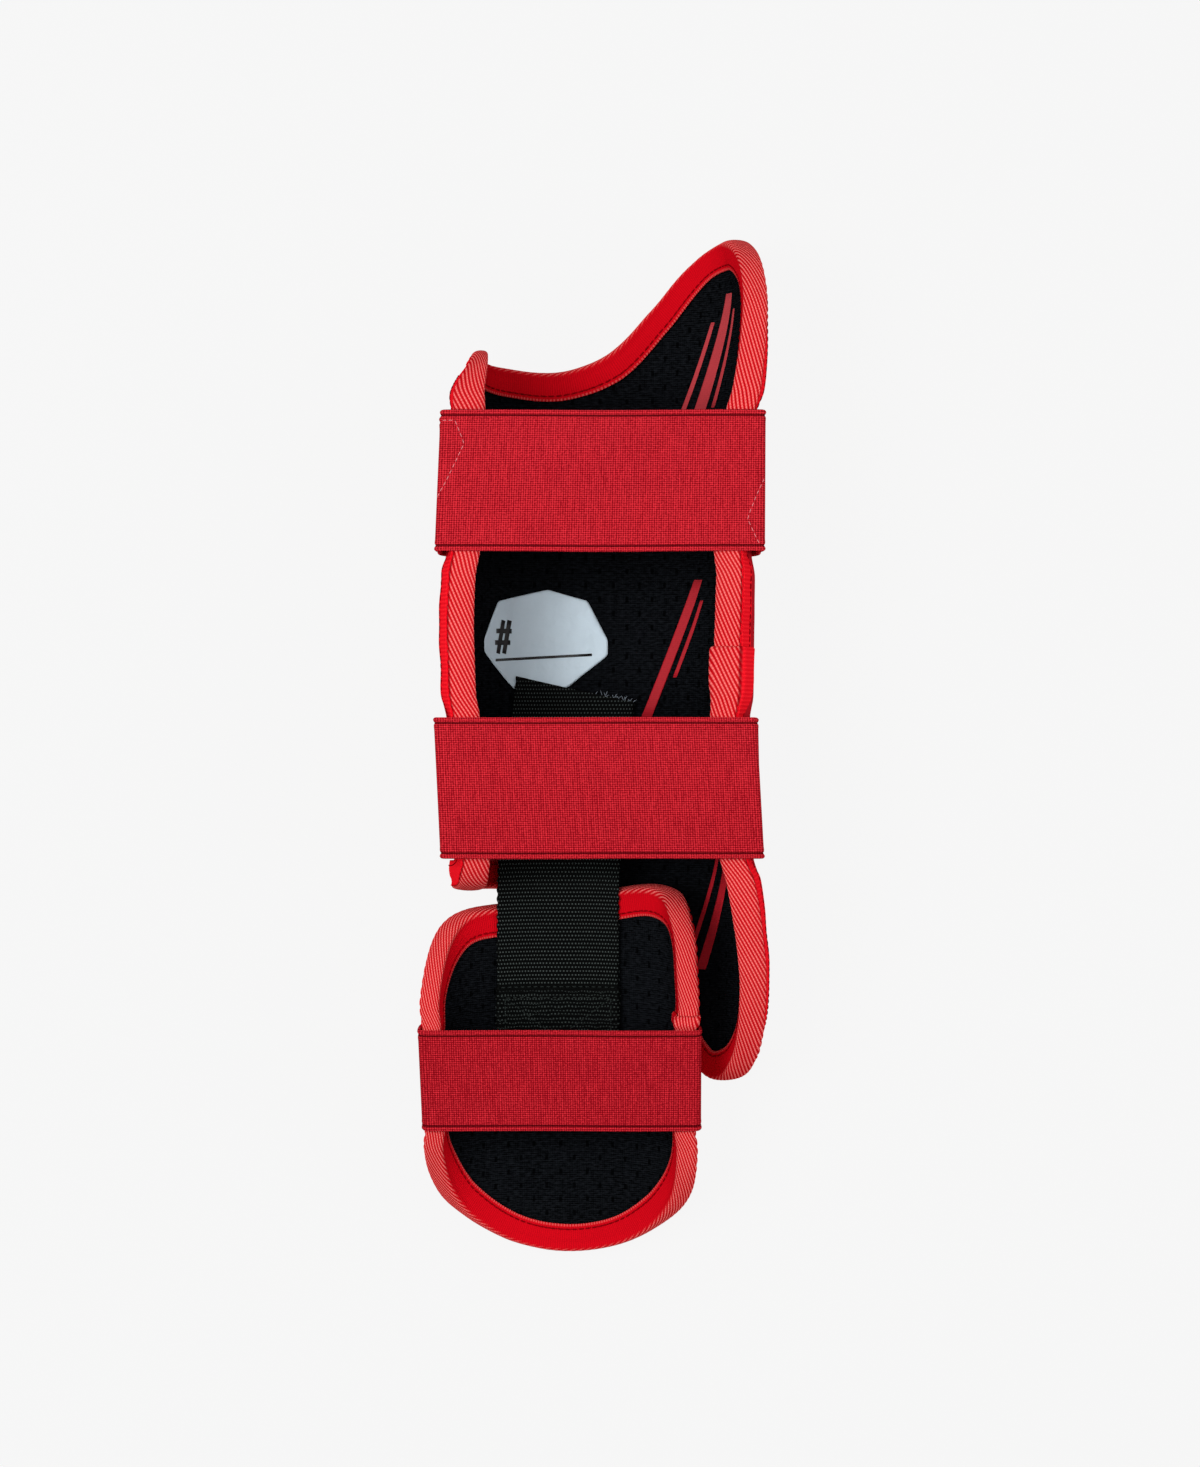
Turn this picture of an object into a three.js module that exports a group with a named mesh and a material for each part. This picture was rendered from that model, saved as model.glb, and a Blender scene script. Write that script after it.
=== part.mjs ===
// A batter's leg guard: a bent shin panel and a smaller foot pad, joined by a webbing strap and
// worn with three elastic bands. It lies on its front with the open back up.
// Millimetres. +Y runs towards the knee, +Z towards the open back, +X to the long side.
// The origin is on the flat line of the raised front plate.

import * as THREE from "three";

const radians = THREE.MathUtils.degToRad;

// Padded wall and its edge tape
const coverWall = 2.8;
const liningWall = 5.5;
const tapeWall = 0.9;
const tapeFlange = 9;
const foldDepth = 2.2;
const seamGap = 0.3;
const tapeGap = 0.55;
const plateRise = 2;
const plateMargin = 15;
const plateSlope = 18;

// Shin panel
const shinLength = 317;
const shinBelowOrigin = 131;
const shinHalfWidth = 53;
const shinFrontFlat = 8;
const shinFrontRadius = 60;
const shinFrontAngle = 30;
const shinRimHeight = 76;
const armLean = 10;
const plateReach = 56;

// Foot pad
const padLength = 138;
const padCentreX = -15;
const padEndY = -195;
const padTilt = 8;
const padFrontFlat = 6;
const padFrontRadius = 50;
const padFrontAngle = 32;
const padSideRadius = 32;
const padEndAngle = 83;
const padRimHeight = 37;

// Elastic bands and their hook patches
const bandWall = 1.4;
const wideBand = 52;
const narrowBand = 38.5;
const upperBandY = 0.7066 * shinLength - shinBelowOrigin;
const middleBandY = 0.35 * shinLength - shinBelowOrigin;
const lowerBandY = -129.5;
const bandBend = 4;
const bandGap = 0.5;
const bandEndShare = 0.56;
const hookWall = 0.8;
const hookShare = 0.2;
const hookInset = 4;

// Webbing between the two panels
const webbingWall = 1.8;
const webbingWidth = 50;
const webbingTop = 17;
const webbingEnd = -136;
const webbingX = -16;
const webbingTurn = 0.19;
const climbRun = 38;
const climbPastPad = 0.343;
const climbEnd = padEndY + padLength * Math.cos(radians(padTilt)) + climbPastPad;
const climbStart = climbEnd + climbRun;

// Write-in label on the lining
const labelWall = 0.5;
const labelWidth = 55;
const labelHeight = 43;
const labelCentreS = -24.5;
const labelCentreY = 33.5;

// Resolution of the meshes
const endCrowding = 0.75;
const panelColumns = 28;
const panelRows = 14;
const padColumns = 24;
const padRows = 9;
const bandSideSteps = 8;
const bandBendSteps = 3;
const bandTopSteps = 4;
const bandRows = 4;
const hookColumns = 3;
const hookRows = 3;

// Half width, lean and wall of the shin panel at stations along its length.
// along is a share of shinLength, left and right of shinHalfWidth, the leans of armLean.
const shinStations = [
  { along: 0, left: 0.93, leftLean: 0.9, leftWall: 0.94, right: 0.965, rightLean: 0.3, rightWall: 0.82 },
  { along: 0.04, left: 0.93, leftLean: 0.9, leftWall: 0.94, right: 1.04, rightLean: 0.25, rightWall: 0.82 },
  { along: 0.1, left: 0.93, leftLean: 0.9, leftWall: 0.94, right: 1.08, rightLean: 0.25, rightWall: 0.84 },
  { along: 0.2, left: 0.93, leftLean: 0.9, leftWall: 0.94, right: 1.06, rightLean: 0.5, rightWall: 0.9 },
  { along: 0.25, left: 0.965, leftLean: 0.8, leftWall: 0.94, right: 1.038, rightLean: 0.75, rightWall: 0.92 },
  { along: 0.32, left: 1.01, leftLean: 0.75, leftWall: 0.94, right: 1.02, rightLean: 0.95, rightWall: 0.94 },
  { along: 0.44, left: 1.035, leftLean: 0.75, leftWall: 0.94, right: 1.01, rightLean: 1.15, rightWall: 0.94 },
  { along: 0.54, left: 1.05, leftLean: 0.75, leftWall: 0.94, right: 1.015, rightLean: 1.1, rightWall: 0.94 },
  { along: 0.66, left: 1.03, leftLean: 0.8, leftWall: 0.94, right: 1.025, rightLean: 0.95, rightWall: 0.94 },
  { along: 0.76, left: 1.01, leftLean: 0.6, leftWall: 0.94, right: 1.04, rightLean: 0.7, rightWall: 0.93 },
  { along: 0.81, left: 0.965, leftLean: 0.4, leftWall: 0.94, right: 1.06, rightLean: 0.4, rightWall: 0.9 },
  { along: 0.86, left: 0.89, leftLean: 0.4, leftWall: 0.92, right: 1.075, rightLean: 0, rightWall: 0.82 },
  { along: 0.93, left: 0.82, leftLean: 0.4, leftWall: 0.9, right: 1.04, rightLean: -0.4, rightWall: 0.74 },
  { along: 1, left: 0.8, leftLean: 0.4, leftWall: 0.9, right: 0.925, rightLean: -0.85, rightWall: 0.72 },
];

// Edges of the shin panel: side is a share of the half girth, along a share of shinLength.
const shinTopEdge = [
  { side: -1.0, along: 0.76 },
  { side: -0.985, along: 0.817 },
  { side: -0.9, along: 0.849 },
  { side: -0.72, along: 0.857 },
  { side: -0.4, along: 0.847 },
  { side: -0.15, along: 0.843 },
  { side: 0.03, along: 0.864 },
  { side: 0.2, along: 0.918 },
  { side: 0.36, along: 0.966 },
  { side: 0.54, along: 0.995 },
  { side: 0.72, along: 0.994 },
  { side: 0.9, along: 0.963 },
  { side: 0.98, along: 0.92 },
  { side: 1.0, along: 0.87 },
];
const shinFootEdge = [
  { side: -1.0, along: 0.29 },
  { side: -0.975, along: 0.255 },
  { side: -0.88, along: 0.237 },
  { side: -0.6, along: 0.234 },
  { side: -0.35, along: 0.232 },
  { side: -0.1, along: 0.212 },
  { side: 0.08, along: 0.172 },
  { side: 0.22, along: 0.108 },
  { side: 0.33, along: 0.048 },
  { side: 0.45, along: 0.014 },
  { side: 0.6, along: 0.006 },
  { side: 0.78, along: 0.028 },
  { side: 0.94, along: 0.09 },
  { side: 1.0, along: 0.18 },
];

const padStations = [
  { along: 0, left: 0.9, leftLean: 0, leftWall: 0.72, right: 0.9, rightLean: 0, rightWall: 0.72 },
  { along: 0.3, left: 1, leftLean: 0, leftWall: 0.72, right: 1, rightLean: 0, rightWall: 0.72 },
  { along: 0.8, left: 1, leftLean: 0, leftWall: 0.72, right: 1, rightLean: 0, rightWall: 0.72 },
  { along: 0.92, left: 0.74, leftLean: 0, leftWall: 0.72, right: 0.88, rightLean: 0, rightWall: 0.72 },
  { along: 1, left: 0.5, leftLean: 0, leftWall: 0.72, right: 0.6, rightLean: 0, rightWall: 0.72 },
];
const padTopEdge = [
  { side: -1.0, along: 0.66 },
  { side: -0.965, along: 0.8 },
  { side: -0.84, along: 0.895 },
  { side: -0.62, along: 0.937 },
  { side: -0.35, along: 0.945 },
  { side: 0, along: 0.95 },
  { side: 0.35, along: 0.98 },
  { side: 0.66, along: 1.0 },
  { side: 0.88, along: 0.972 },
  { side: 0.98, along: 0.89 },
  { side: 1.0, along: 0.76 },
];
const padFootEdge = [
  { side: -1.0, along: 0.4 },
  { side: -0.95, along: 0.25 },
  { side: -0.72, along: 0.125 },
  { side: -0.36, along: 0.035 },
  { side: 0.06, along: 0.0 },
  { side: 0.4, along: 0.028 },
  { side: 0.74, along: 0.125 },
  { side: 0.95, along: 0.25 },
  { side: 1.0, along: 0.4 },
];

// Corners of the label as shares of its half width and half height, from the left one round.
const labelTopSide = [
  { across: -1, up: 0.1 },
  { across: -0.7, up: 0.78 },
  { across: 0.12, up: 1 },
  { across: 0.72, up: 0.8 },
  { across: 1, up: 0.1 },
];
const labelFootSide = [
  { across: -1, up: -0.1 },
  { across: -0.42, up: -0.76 },
  { across: -0.06, up: -1 },
  { across: 0.45, up: -0.72 },
  { across: 1, up: -0.17 },
];

const wallHalf = (coverWall + seamGap + liningWall) / 2;
const tapeFace = wallHalf + tapeGap + tapeWall;
const mix = THREE.MathUtils.lerp;
const ease = THREE.MathUtils.smoothstep;

/** Reads one column of a station table at any place along the panel. */
function column(stations, name) {
  const places = stations.map((row) => row.along);
  const values = stations.map((row) => row[name]);
  const curve = new THREE.CubicInterpolant(places, values, 1);
  return (along) => curve.evaluate(THREE.MathUtils.clamp(along, 0, 1))[0];
}

/** A panel bent round its length: flat line, front arc, side arc and straight arm on each side. */
class BentPanel {
  constructor(form) {
    Object.assign(this, form);
    this.read = {};
    for (const name of ["left", "leftLean", "leftWall", "right", "rightLean", "rightWall"]) {
      this.read[name] = column(form.stations, name);
    }
  }

  /** The lengths, radii and turns of the cross section on one side. */
  section(y, side) {
    const along = (y - this.foot) / this.length;
    const front = radians(this.frontAngle);
    const end = radians(this.endAngle + this.read[`${side}Lean`](along) * this.lean);
    const curve = this.sideRadius(this.read[side](along));
    return {
      wall: this.read[`${side}Wall`](along),
      stretches: [
        { length: this.frontFlat, radius: Infinity },
        { length: this.frontRadius * front, radius: this.frontRadius },
        { length: curve * (end - front), radius: curve },
        { length: Infinity, radius: Infinity },
      ],
    };
  }

  /** Walks the mid line of a cross section from the front line. */
  walk(stretches, distance) {
    const place = { x: 0, z: 0, heading: 0 };
    let left = distance;
    for (const { length, radius } of stretches) {
      const step = Math.min(left, length);
      if (radius === Infinity) {
        place.x += step * Math.cos(place.heading);
        place.z += step * Math.sin(place.heading);
      } else {
        const next = place.heading + step / radius;
        place.x += radius * (Math.sin(next) - Math.sin(place.heading));
        place.z += radius * (Math.cos(place.heading) - Math.cos(next));
        place.heading = next;
      }
      left -= step;
      if (left <= 0) break;
    }
    return place;
  }

  /** The distance from the front line to the rim, which stands at rimHeight. */
  girth(y, side) {
    const { stretches } = this.section(y, side);
    const bent = stretches.slice(0, 3).reduce((sum, stretch) => sum + stretch.length, 0);
    const place = this.walk(stretches, bent);
    return bent + (this.rimHeight - this.base - place.z) / Math.sin(place.heading);
  }

  /** A point by its distance s from the front line, its y, and its offset outwards. */
  local(s, y, offset) {
    const side = s < 0 ? "left" : "right";
    const { wall, stretches } = this.section(y, side);
    const place = this.walk(stretches, Math.abs(s));
    const share = mix(1, wall, ease(Math.abs(s), this.frontFlat, this.frontFlat + this.frontRadius));
    const x = place.x + offset * share * Math.sin(place.heading);
    const z = place.z - offset * share * Math.cos(place.heading);
    return new THREE.Vector3(s < 0 ? -x : x, y, this.base + z);
  }

  at(s, y, offset) {
    return this.local(s, y, offset).applyMatrix4(this.matrix);
  }

  /** Points of an edge table, evenly spaced, as (s, y). */
  edge(table, steps) {
    const points = table.map(({ side, along }) => {
      const y = this.foot + along * this.length;
      return new THREE.Vector3(side * this.girth(y, side < 0 ? "left" : "right"), y, 0);
    });
    return new THREE.CatmullRomCurve3(points, false, "centripetal").getSpacedPoints(steps);
  }

  /** Lays out the edge loop, anticlockwise seen from the back, and the grid between the two edges. */
  layOut(topTable, footTable, columns, rows) {
    this.columns = columns;
    this.rows = rows;
    this.top = this.edge(topTable, columns);
    this.bottom = this.edge(footTable, columns);
    const loop = [];
    for (let i = 0; i < columns; i++) loop.push(this.flat(i / columns, 0));
    for (let j = 0; j < rows; j++) loop.push(this.flat(1, rowPlace(j, rows)));
    for (let i = columns; i > 0; i--) loop.push(this.flat(i / columns, 1));
    for (let j = rows; j > 0; j--) loop.push(this.flat(0, rowPlace(j, rows)));
    this.loop = loop;
  }

  /** A point of the flat pattern. The rims follow the girth, so they stay at one height. */
  flat(u, v) {
    const i = Math.round(u * this.columns);
    const foot = this.bottom[i];
    const top = this.top[i];
    const y = mix(foot.y, top.y, v);
    const side = foot.x + top.x < 0 ? "left" : "right";
    const shareFoot = foot.x / this.girth(foot.y, side);
    const shareTop = top.x / this.girth(top.y, side);
    return new THREE.Vector3(mix(shareFoot, shareTop, v) * this.girth(y, side), y, 0);
  }

  edgeDistance(point) {
    return Math.min(...this.loop.map((mark) => mark.distanceTo(point)));
  }
}

/** Place of a row of the grid, with the rows closer together near both ends. */
function rowPlace(j, rows) {
  return mix(j / rows, 0.5 - 0.5 * Math.cos((Math.PI * j) / rows), endCrowding);
}

/** Makes a closed indexed mesh, turned so that its faces point outwards. */
function closed(points, faces) {
  let volume = 0;
  for (const [a, b, c] of faces) {
    volume += points[a].dot(new THREE.Vector3().crossVectors(points[b], points[c]));
  }
  const index = faces.flatMap(([a, b, c]) => (volume > 0 ? [a, b, c] : [a, c, b]));
  const geometry = new THREE.BufferGeometry().setFromPoints(points);
  geometry.setIndex(index);
  geometry.computeVertexNormals();
  return geometry;
}

/** A wall between two faces, each a grid of columns by rows. */
function slab(columns, rows, face) {
  const points = [];
  for (const inner of [0, 1]) {
    for (let j = 0; j <= rows; j++) {
      for (let i = 0; i <= columns; i++) points.push(face(i / columns, j / rows, inner));
    }
  }
  const layer = (columns + 1) * (rows + 1);
  const id = (i, j, inner) => inner * layer + j * (columns + 1) + i;
  const faces = [];
  const quad = (a, b, c, d) => faces.push([a, b, c], [a, c, d]);
  for (let j = 0; j < rows; j++) {
    for (let i = 0; i < columns; i++) {
      quad(id(i, j, 0), id(i + 1, j, 0), id(i + 1, j + 1, 0), id(i, j + 1, 0));
      quad(id(i, j, 1), id(i, j + 1, 1), id(i + 1, j + 1, 1), id(i + 1, j, 1));
    }
    quad(id(0, j, 0), id(0, j + 1, 0), id(0, j + 1, 1), id(0, j, 1));
    quad(id(columns, j, 0), id(columns, j, 1), id(columns, j + 1, 1), id(columns, j + 1, 0));
  }
  for (let i = 0; i < columns; i++) {
    quad(id(i, 0, 0), id(i, 0, 1), id(i + 1, 0, 1), id(i + 1, 0, 0));
    quad(id(i, rows, 0), id(i + 1, rows, 0), id(i + 1, rows, 1), id(i, rows, 1));
  }
  return closed(points, faces);
}

/** A profile carried round a closed loop. */
function ring(steps, profile, place) {
  const points = [];
  for (let k = 0; k < steps; k++) points.push(...profile.map((mark) => place(k, mark)));
  const id = (k, m) => (k % steps) * profile.length + (m % profile.length);
  const faces = [];
  for (let k = 0; k < steps; k++) {
    for (let m = 0; m < profile.length; m++) {
      faces.push([id(k, m), id(k + 1, m), id(k + 1, m + 1)], [id(k, m), id(k + 1, m + 1), id(k, m + 1)]);
    }
  }
  return closed(points, faces);
}

/** How far the front plate stands out of the cover at a point of the flat pattern. */
function rise(panel, point) {
  const fromEdge = ease(panel.edgeDistance(point), plateMargin, plateMargin + plateSlope);
  const fromSide = 1 - ease(Math.abs(point.x), panel.plateReach - plateSlope, panel.plateReach);
  return plateRise * fromEdge * fromSide;
}

/** The outer cloth over the moulded shell. */
function coverGeometry(panel) {
  const inside = wallHalf - coverWall;
  return slab(panel.columns, panel.rows, (u, v, inner) => {
    const point = panel.flat(u, rowPlace(v * panel.rows, panel.rows));
    const offset = inner ? inside : wallHalf + rise(panel, point);
    return panel.at(point.x, point.y, offset);
  });
}

/** The foam lining. */
function liningGeometry(panel) {
  const outside = wallHalf - coverWall - seamGap;
  return slab(panel.columns, panel.rows, (u, v, inner) => {
    const point = panel.flat(u, rowPlace(v * panel.rows, panel.rows));
    return panel.at(point.x, point.y, inner ? -wallHalf : outside);
  });
}

/** The tape folded over the edge: a channel round the loop. */
function bindingGeometry(panel) {
  const hollow = wallHalf + tapeGap;
  const profile = [
    { inwards: tapeFlange, offset: -tapeFace },
    { inwards: 0, offset: -tapeFace },
    { inwards: -foldDepth * 0.7, offset: -tapeFace * 0.72 },
    { inwards: -foldDepth, offset: 0 },
    { inwards: -foldDepth * 0.7, offset: tapeFace * 0.72 },
    { inwards: 0, offset: tapeFace },
    { inwards: tapeFlange / 2, offset: tapeFace },
    { inwards: tapeFlange, offset: tapeFace },
    { inwards: tapeFlange, offset: hollow },
    { inwards: tapeFlange / 2, offset: hollow },
    { inwards: -tapeGap, offset: hollow },
    { inwards: -tapeGap, offset: -hollow },
    { inwards: tapeFlange, offset: -hollow },
  ];
  const { loop } = panel;
  const inward = loop.map((point, k) => {
    const before = loop[(k + loop.length - 1) % loop.length];
    const after = loop[(k + 1) % loop.length];
    return new THREE.Vector3(before.y - after.y, after.x - before.x, 0).normalize();
  });
  return ring(loop.length, profile, (k, { inwards, offset }) => {
    const point = loop[k].clone().addScaledVector(inward[k], inwards);
    return panel.at(point.x, point.y, offset);
  });
}

const bandOffset = tapeFace + bandGap + bandWall / 2;

/** Mid line of an elastic band at one y: up one side, over both rims and down the other side. */
function bandLine(panel, y) {
  const half = (side, sign) => {
    const girth = panel.girth(y, side);
    const at = (s) => panel.local(sign * s, y, bandOffset);
    const start = girth * bandEndShare;
    const points = [];
    for (let k = 0; k <= bandSideSteps; k++) points.push(at(mix(start, girth, k / bandSideSteps)));
    const top = panel.rimHeight + foldDepth + bandGap + bandWall / 2;
    const last = points[bandSideSteps];
    const slope = at(girth).sub(at(girth - 1));
    const corner = last.clone().addScaledVector(slope, (top - last.z) / slope.z);
    const across = new THREE.Vector3(corner.x - sign * bandBend, y, top);
    const bend = new THREE.QuadraticBezierCurve3(last, corner, across);
    for (let k = 1; k <= bandBendSteps; k++) points.push(bend.getPoint(k / bandBendSteps));
    return points;
  };
  const left = half("left", -1);
  const right = half("right", 1);
  const middle = [];
  for (let k = 1; k < bandTopSteps; k++) {
    middle.push(left[left.length - 1].clone().lerp(right[right.length - 1], k / bandTopSteps));
  }
  return [...left, ...middle, ...right.reverse()];
}

/** An elastic band of one width. */
function bandGeometry(panel, centre, width) {
  const lines = [];
  for (let j = 0; j <= bandRows; j++) lines.push(bandLine(panel, centre + (j / bandRows - 0.5) * width));
  const last = lines[0].length - 1;
  return slab(last, bandRows, (u, v, inner) => {
    const line = lines[Math.round(v * bandRows)];
    const k = Math.round(u * last);
    const tangent = line[Math.min(k + 1, last)].clone().sub(line[Math.max(k - 1, 0)]).normalize();
    const out = new THREE.Vector3(-tangent.z, 0, tangent.x);
    const point = line[k].clone().addScaledVector(out, (inner ? -bandWall : bandWall) / 2);
    return point.applyMatrix4(panel.matrix);
  });
}

/** A hook patch between the end of a band and the cover. */
function hookGeometry(panel, centre, width, side) {
  const sign = side === "left" ? -1 : 1;
  const near = wallHalf + tapeGap;
  return slab(hookColumns, hookRows, (u, v, inner) => {
    const y = centre + (v - 0.5) * (width - 2 * hookInset);
    const girth = panel.girth(y, side);
    const s = girth * (bandEndShare + u * hookShare) + hookInset;
    return panel.at(sign * s, y, inner ? near : near + hookWall);
  });
}

/** The webbing: it lies in the shin panel, climbs over the edge of the pad and lies in the pad. */
function webbingGeometry(shin, pad) {
  const steps = 24;
  const lift = wallHalf + tapeGap + labelWall + seamGap;
  const padLift = tapeFace + seamGap;
  return slab(6, steps, (u, v, inner) => {
    const across = (u - 0.5) * webbingWidth;
    const y = mix(webbingEnd, webbingTop - across * webbingTurn, v);
    const thick = inner ? webbingWall : 0;
    const skewed = webbingX + Math.max(0, y - climbStart) * webbingTurn;
    const onShin = shin.at(skewed + across, y, -lift - thick);
    const padY = (y - padEndY) / Math.cos(radians(padTilt));
    const onPad = pad.at(across + webbingX - padCentreX, padY, -padLift - thick);
    return onShin.lerp(onPad, ease(-y, -climbStart, -climbEnd));
  });
}

/** The write-in label, between its top and its foot line. */
function labelGeometry(shin) {
  const line = (table, across) => {
    const next = Math.max(1, table.findIndex((row) => row.across >= across));
    const { across: a, up: low } = table[next - 1];
    const { across: b, up: high } = table[next];
    return mix(low, high, (across - a) / (b - a));
  };
  const marks = [...labelTopSide, ...labelFootSide].map((row) => row.across);
  const columns = [...new Set(marks)].sort((a, b) => a - b);
  const near = wallHalf + tapeGap;
  return slab(columns.length - 1, 2, (u, v, inner) => {
    const across = columns[Math.round(u * (columns.length - 1))];
    const up = mix(line(labelFootSide, across), line(labelTopSide, across), v);
    const s = labelCentreS + (across * labelWidth) / 2;
    const y = labelCentreY + (up * labelHeight) / 2;
    return shin.at(s, y, -near - (inner ? labelWall : 0));
  });
}

/** Side radius that brings the mid line to a half width at its widest. */
function shinSideRadius(share) {
  const sine = Math.sin(radians(shinFrontAngle));
  return (shinHalfWidth * share - shinFrontFlat - shinFrontRadius * sine) / (1 - sine);
}

const shin = new BentPanel({
  length: shinLength,
  foot: -shinBelowOrigin,
  base: wallHalf + plateRise,
  frontFlat: shinFrontFlat,
  frontRadius: shinFrontRadius,
  frontAngle: shinFrontAngle,
  sideRadius: shinSideRadius,
  endAngle: 90,
  lean: armLean,
  rimHeight: shinRimHeight,
  stations: shinStations,
  plateReach,
  matrix: new THREE.Matrix4(),
});
shin.layOut(shinTopEdge, shinFootEdge, panelColumns, panelRows);

const padPlace = new THREE.Matrix4().makeTranslation(padCentreX, padEndY, 0);
padPlace.multiply(new THREE.Matrix4().makeRotationX(radians(padTilt)));
const pad = new BentPanel({
  length: padLength,
  foot: 0,
  base: tapeFace,
  frontFlat: padFrontFlat,
  frontRadius: padFrontRadius,
  frontAngle: padFrontAngle,
  sideRadius: (share) => padSideRadius * share,
  endAngle: padEndAngle,
  lean: 0,
  rimHeight: padRimHeight,
  stations: padStations,
  plateReach: 0,
  matrix: padPlace,
});
pad.layOut(padTopEdge, padFootEdge, padColumns, padRows);

const coverCloth = new THREE.MeshStandardMaterial({ color: 0xb51420, roughness: 0.75, metalness: 0 });
const liningCloth = new THREE.MeshStandardMaterial({ color: 0x141416, roughness: 0.9, metalness: 0 });
const edgeTape = new THREE.MeshStandardMaterial({ color: 0xe0272c, roughness: 0.65, metalness: 0 });
const elastic = new THREE.MeshStandardMaterial({ color: 0xb81c28, roughness: 0.8, metalness: 0 });
const hookCloth = new THREE.MeshStandardMaterial({ color: 0x9c1620, roughness: 0.9, metalness: 0 });
const blackWebbing = new THREE.MeshStandardMaterial({ color: 0x17181a, roughness: 0.7, metalness: 0 });
const labelFilm = new THREE.MeshStandardMaterial({ color: 0xaab2b9, roughness: 0.45, metalness: 0 });

const guard = new THREE.Group();

/** Adds one named sub-part. */
function add(name, geometry, material) {
  const mesh = new THREE.Mesh(geometry, material);
  mesh.name = name;
  guard.add(mesh);
}

for (const [name, panel] of Object.entries({ shin, foot: pad })) {
  add(`${name}_cover`, coverGeometry(panel), coverCloth);
  add(`${name}_lining`, liningGeometry(panel), liningCloth);
  add(`${name}_binding`, bindingGeometry(panel), edgeTape);
}
const tilt = radians(padTilt);
const padBandY = (lowerBandY - padEndY + padRimHeight * Math.sin(tilt)) / Math.cos(tilt);
const bands = [
  { name: "upper", panel: shin, centre: upperBandY, width: wideBand },
  { name: "middle", panel: shin, centre: middleBandY, width: wideBand },
  { name: "lower", panel: pad, centre: padBandY, width: narrowBand },
];
for (const { name, panel, centre, width } of bands) {
  add(`${name}_strap`, bandGeometry(panel, centre, width), elastic);
  add(`${name}_hook_left`, hookGeometry(panel, centre, width, "left"), hookCloth);
  add(`${name}_hook_right`, hookGeometry(panel, centre, width, "right"), hookCloth);
}
add("webbing", webbingGeometry(shin, pad), blackWebbing);
add("name_label", labelGeometry(shin), labelFilm);

export default guard;
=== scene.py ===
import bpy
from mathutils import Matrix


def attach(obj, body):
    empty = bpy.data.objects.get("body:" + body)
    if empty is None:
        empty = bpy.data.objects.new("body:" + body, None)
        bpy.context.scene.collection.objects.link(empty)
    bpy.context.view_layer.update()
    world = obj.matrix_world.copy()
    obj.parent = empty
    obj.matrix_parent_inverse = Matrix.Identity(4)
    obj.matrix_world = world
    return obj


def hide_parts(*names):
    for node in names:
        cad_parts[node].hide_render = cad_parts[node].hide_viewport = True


bl_info = {
    "name": "Batter's leg guard",
    "version": (1, 0, 0),
    "blender": (4, 5, 0),
    "location": "View3D > Sidebar > Leg guard",
    "description": "Dresses a batter's leg guard: padded panels, edge tape, elastic bands and webbing",
    "category": "Add Mesh",
}

import bpy
import numpy as np

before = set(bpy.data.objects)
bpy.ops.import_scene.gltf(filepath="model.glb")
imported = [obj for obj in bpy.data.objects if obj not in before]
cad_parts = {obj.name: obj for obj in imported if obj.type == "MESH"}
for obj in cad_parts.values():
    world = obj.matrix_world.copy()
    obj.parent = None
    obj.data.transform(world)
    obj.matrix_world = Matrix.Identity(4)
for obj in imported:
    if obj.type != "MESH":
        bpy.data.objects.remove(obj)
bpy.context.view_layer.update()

MM = 0.001
PATTERN_UNIT = 0.1
TAU = 2 * np.pi


# Sizes and colours that a user would change


def length(name, description, millimetres):
    """A length property, given in millimetres and kept in metres."""
    return bpy.props.FloatProperty(
        name=name, description=description, default=millimetres * MM, unit="LENGTH", precision=5
    )


def angle(name, description, degrees):
    """An angle property, given in degrees and kept in radians."""
    return bpy.props.FloatProperty(
        name=name, description=description, default=np.radians(degrees), subtype="ANGLE"
    )


def share(name, description, default):
    return bpy.props.FloatProperty(name=name, description=description, default=default, subtype="FACTOR")


def colour(name, description, red, green, blue):
    return bpy.props.FloatVectorProperty(
        name=name, description=description, default=(red, green, blue), subtype="COLOR", size=3, min=0, max=1
    )


class WallSizes(bpy.types.PropertyGroup):
    cover: length("Cover", "Moulded shell with its cloth", 2.8)
    lining: length("Lining", "Foam with its knit face", 5.5)
    tape: length("Tape", "Thickness of the edge tape", 0.9)
    flange: length("Flange", "Width of the tape on each face of a panel", 9)
    fold: length("Fold", "How far the tape stands out of the edge", 2.2)
    gap: length("Gap", "Clearance between neighbours", 0.3)
    tape_gap: length("Tape gap", "Clearance between the tape and the panel", 0.55)
    plate_rise: length("Plate rise", "How far the front plate stands out", 2)
    plate_margin: length("Plate margin", "Flat border round the front plate", 15)
    plate_slope: length("Plate slope", "Width of the slope round the front plate", 18)


class ShinSizes(bpy.types.PropertyGroup):
    length: length("Length", "Length of the shin panel", 317)
    below: length("Below origin", "How far the panel reaches below the origin", 131)
    half_width: length("Half width", "Mid wall from the front line to the side", 53)
    flat: length("Front flat", "Half of the flat front line", 8)
    front_radius: length("Front radius", "Bend of the front", 60)
    front_angle: angle("Front angle", "Turn of the front bend", 30)
    rim: length("Rim height", "Height of the rims", 76)
    lean: angle("Lean", "How far the sides lean over the shin", 10)
    plate_reach: length("Plate reach", "How far the front plate reaches round", 56)


class PadSizes(bpy.types.PropertyGroup):
    length: length("Length", "Length of the foot pad", 138)
    centre_x: length("Centre", "Place of the pad's front line across", -15)
    end_y: length("End", "Place of the pad's lower end", -195)
    tilt: angle("Tilt", "How steeply the pad rises", 8)
    flat: length("Front flat", "Half of the flat front line", 6)
    front_radius: length("Front radius", "Bend of the front", 57)
    front_angle: angle("Front angle", "Turn of the front bend", 32)
    side_radius: length("Side radius", "Bend of the sides", 24.4)
    end_angle: angle("End angle", "Slope of the rims", 95)
    rim: length("Rim height", "Height of the rims", 37)


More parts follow.
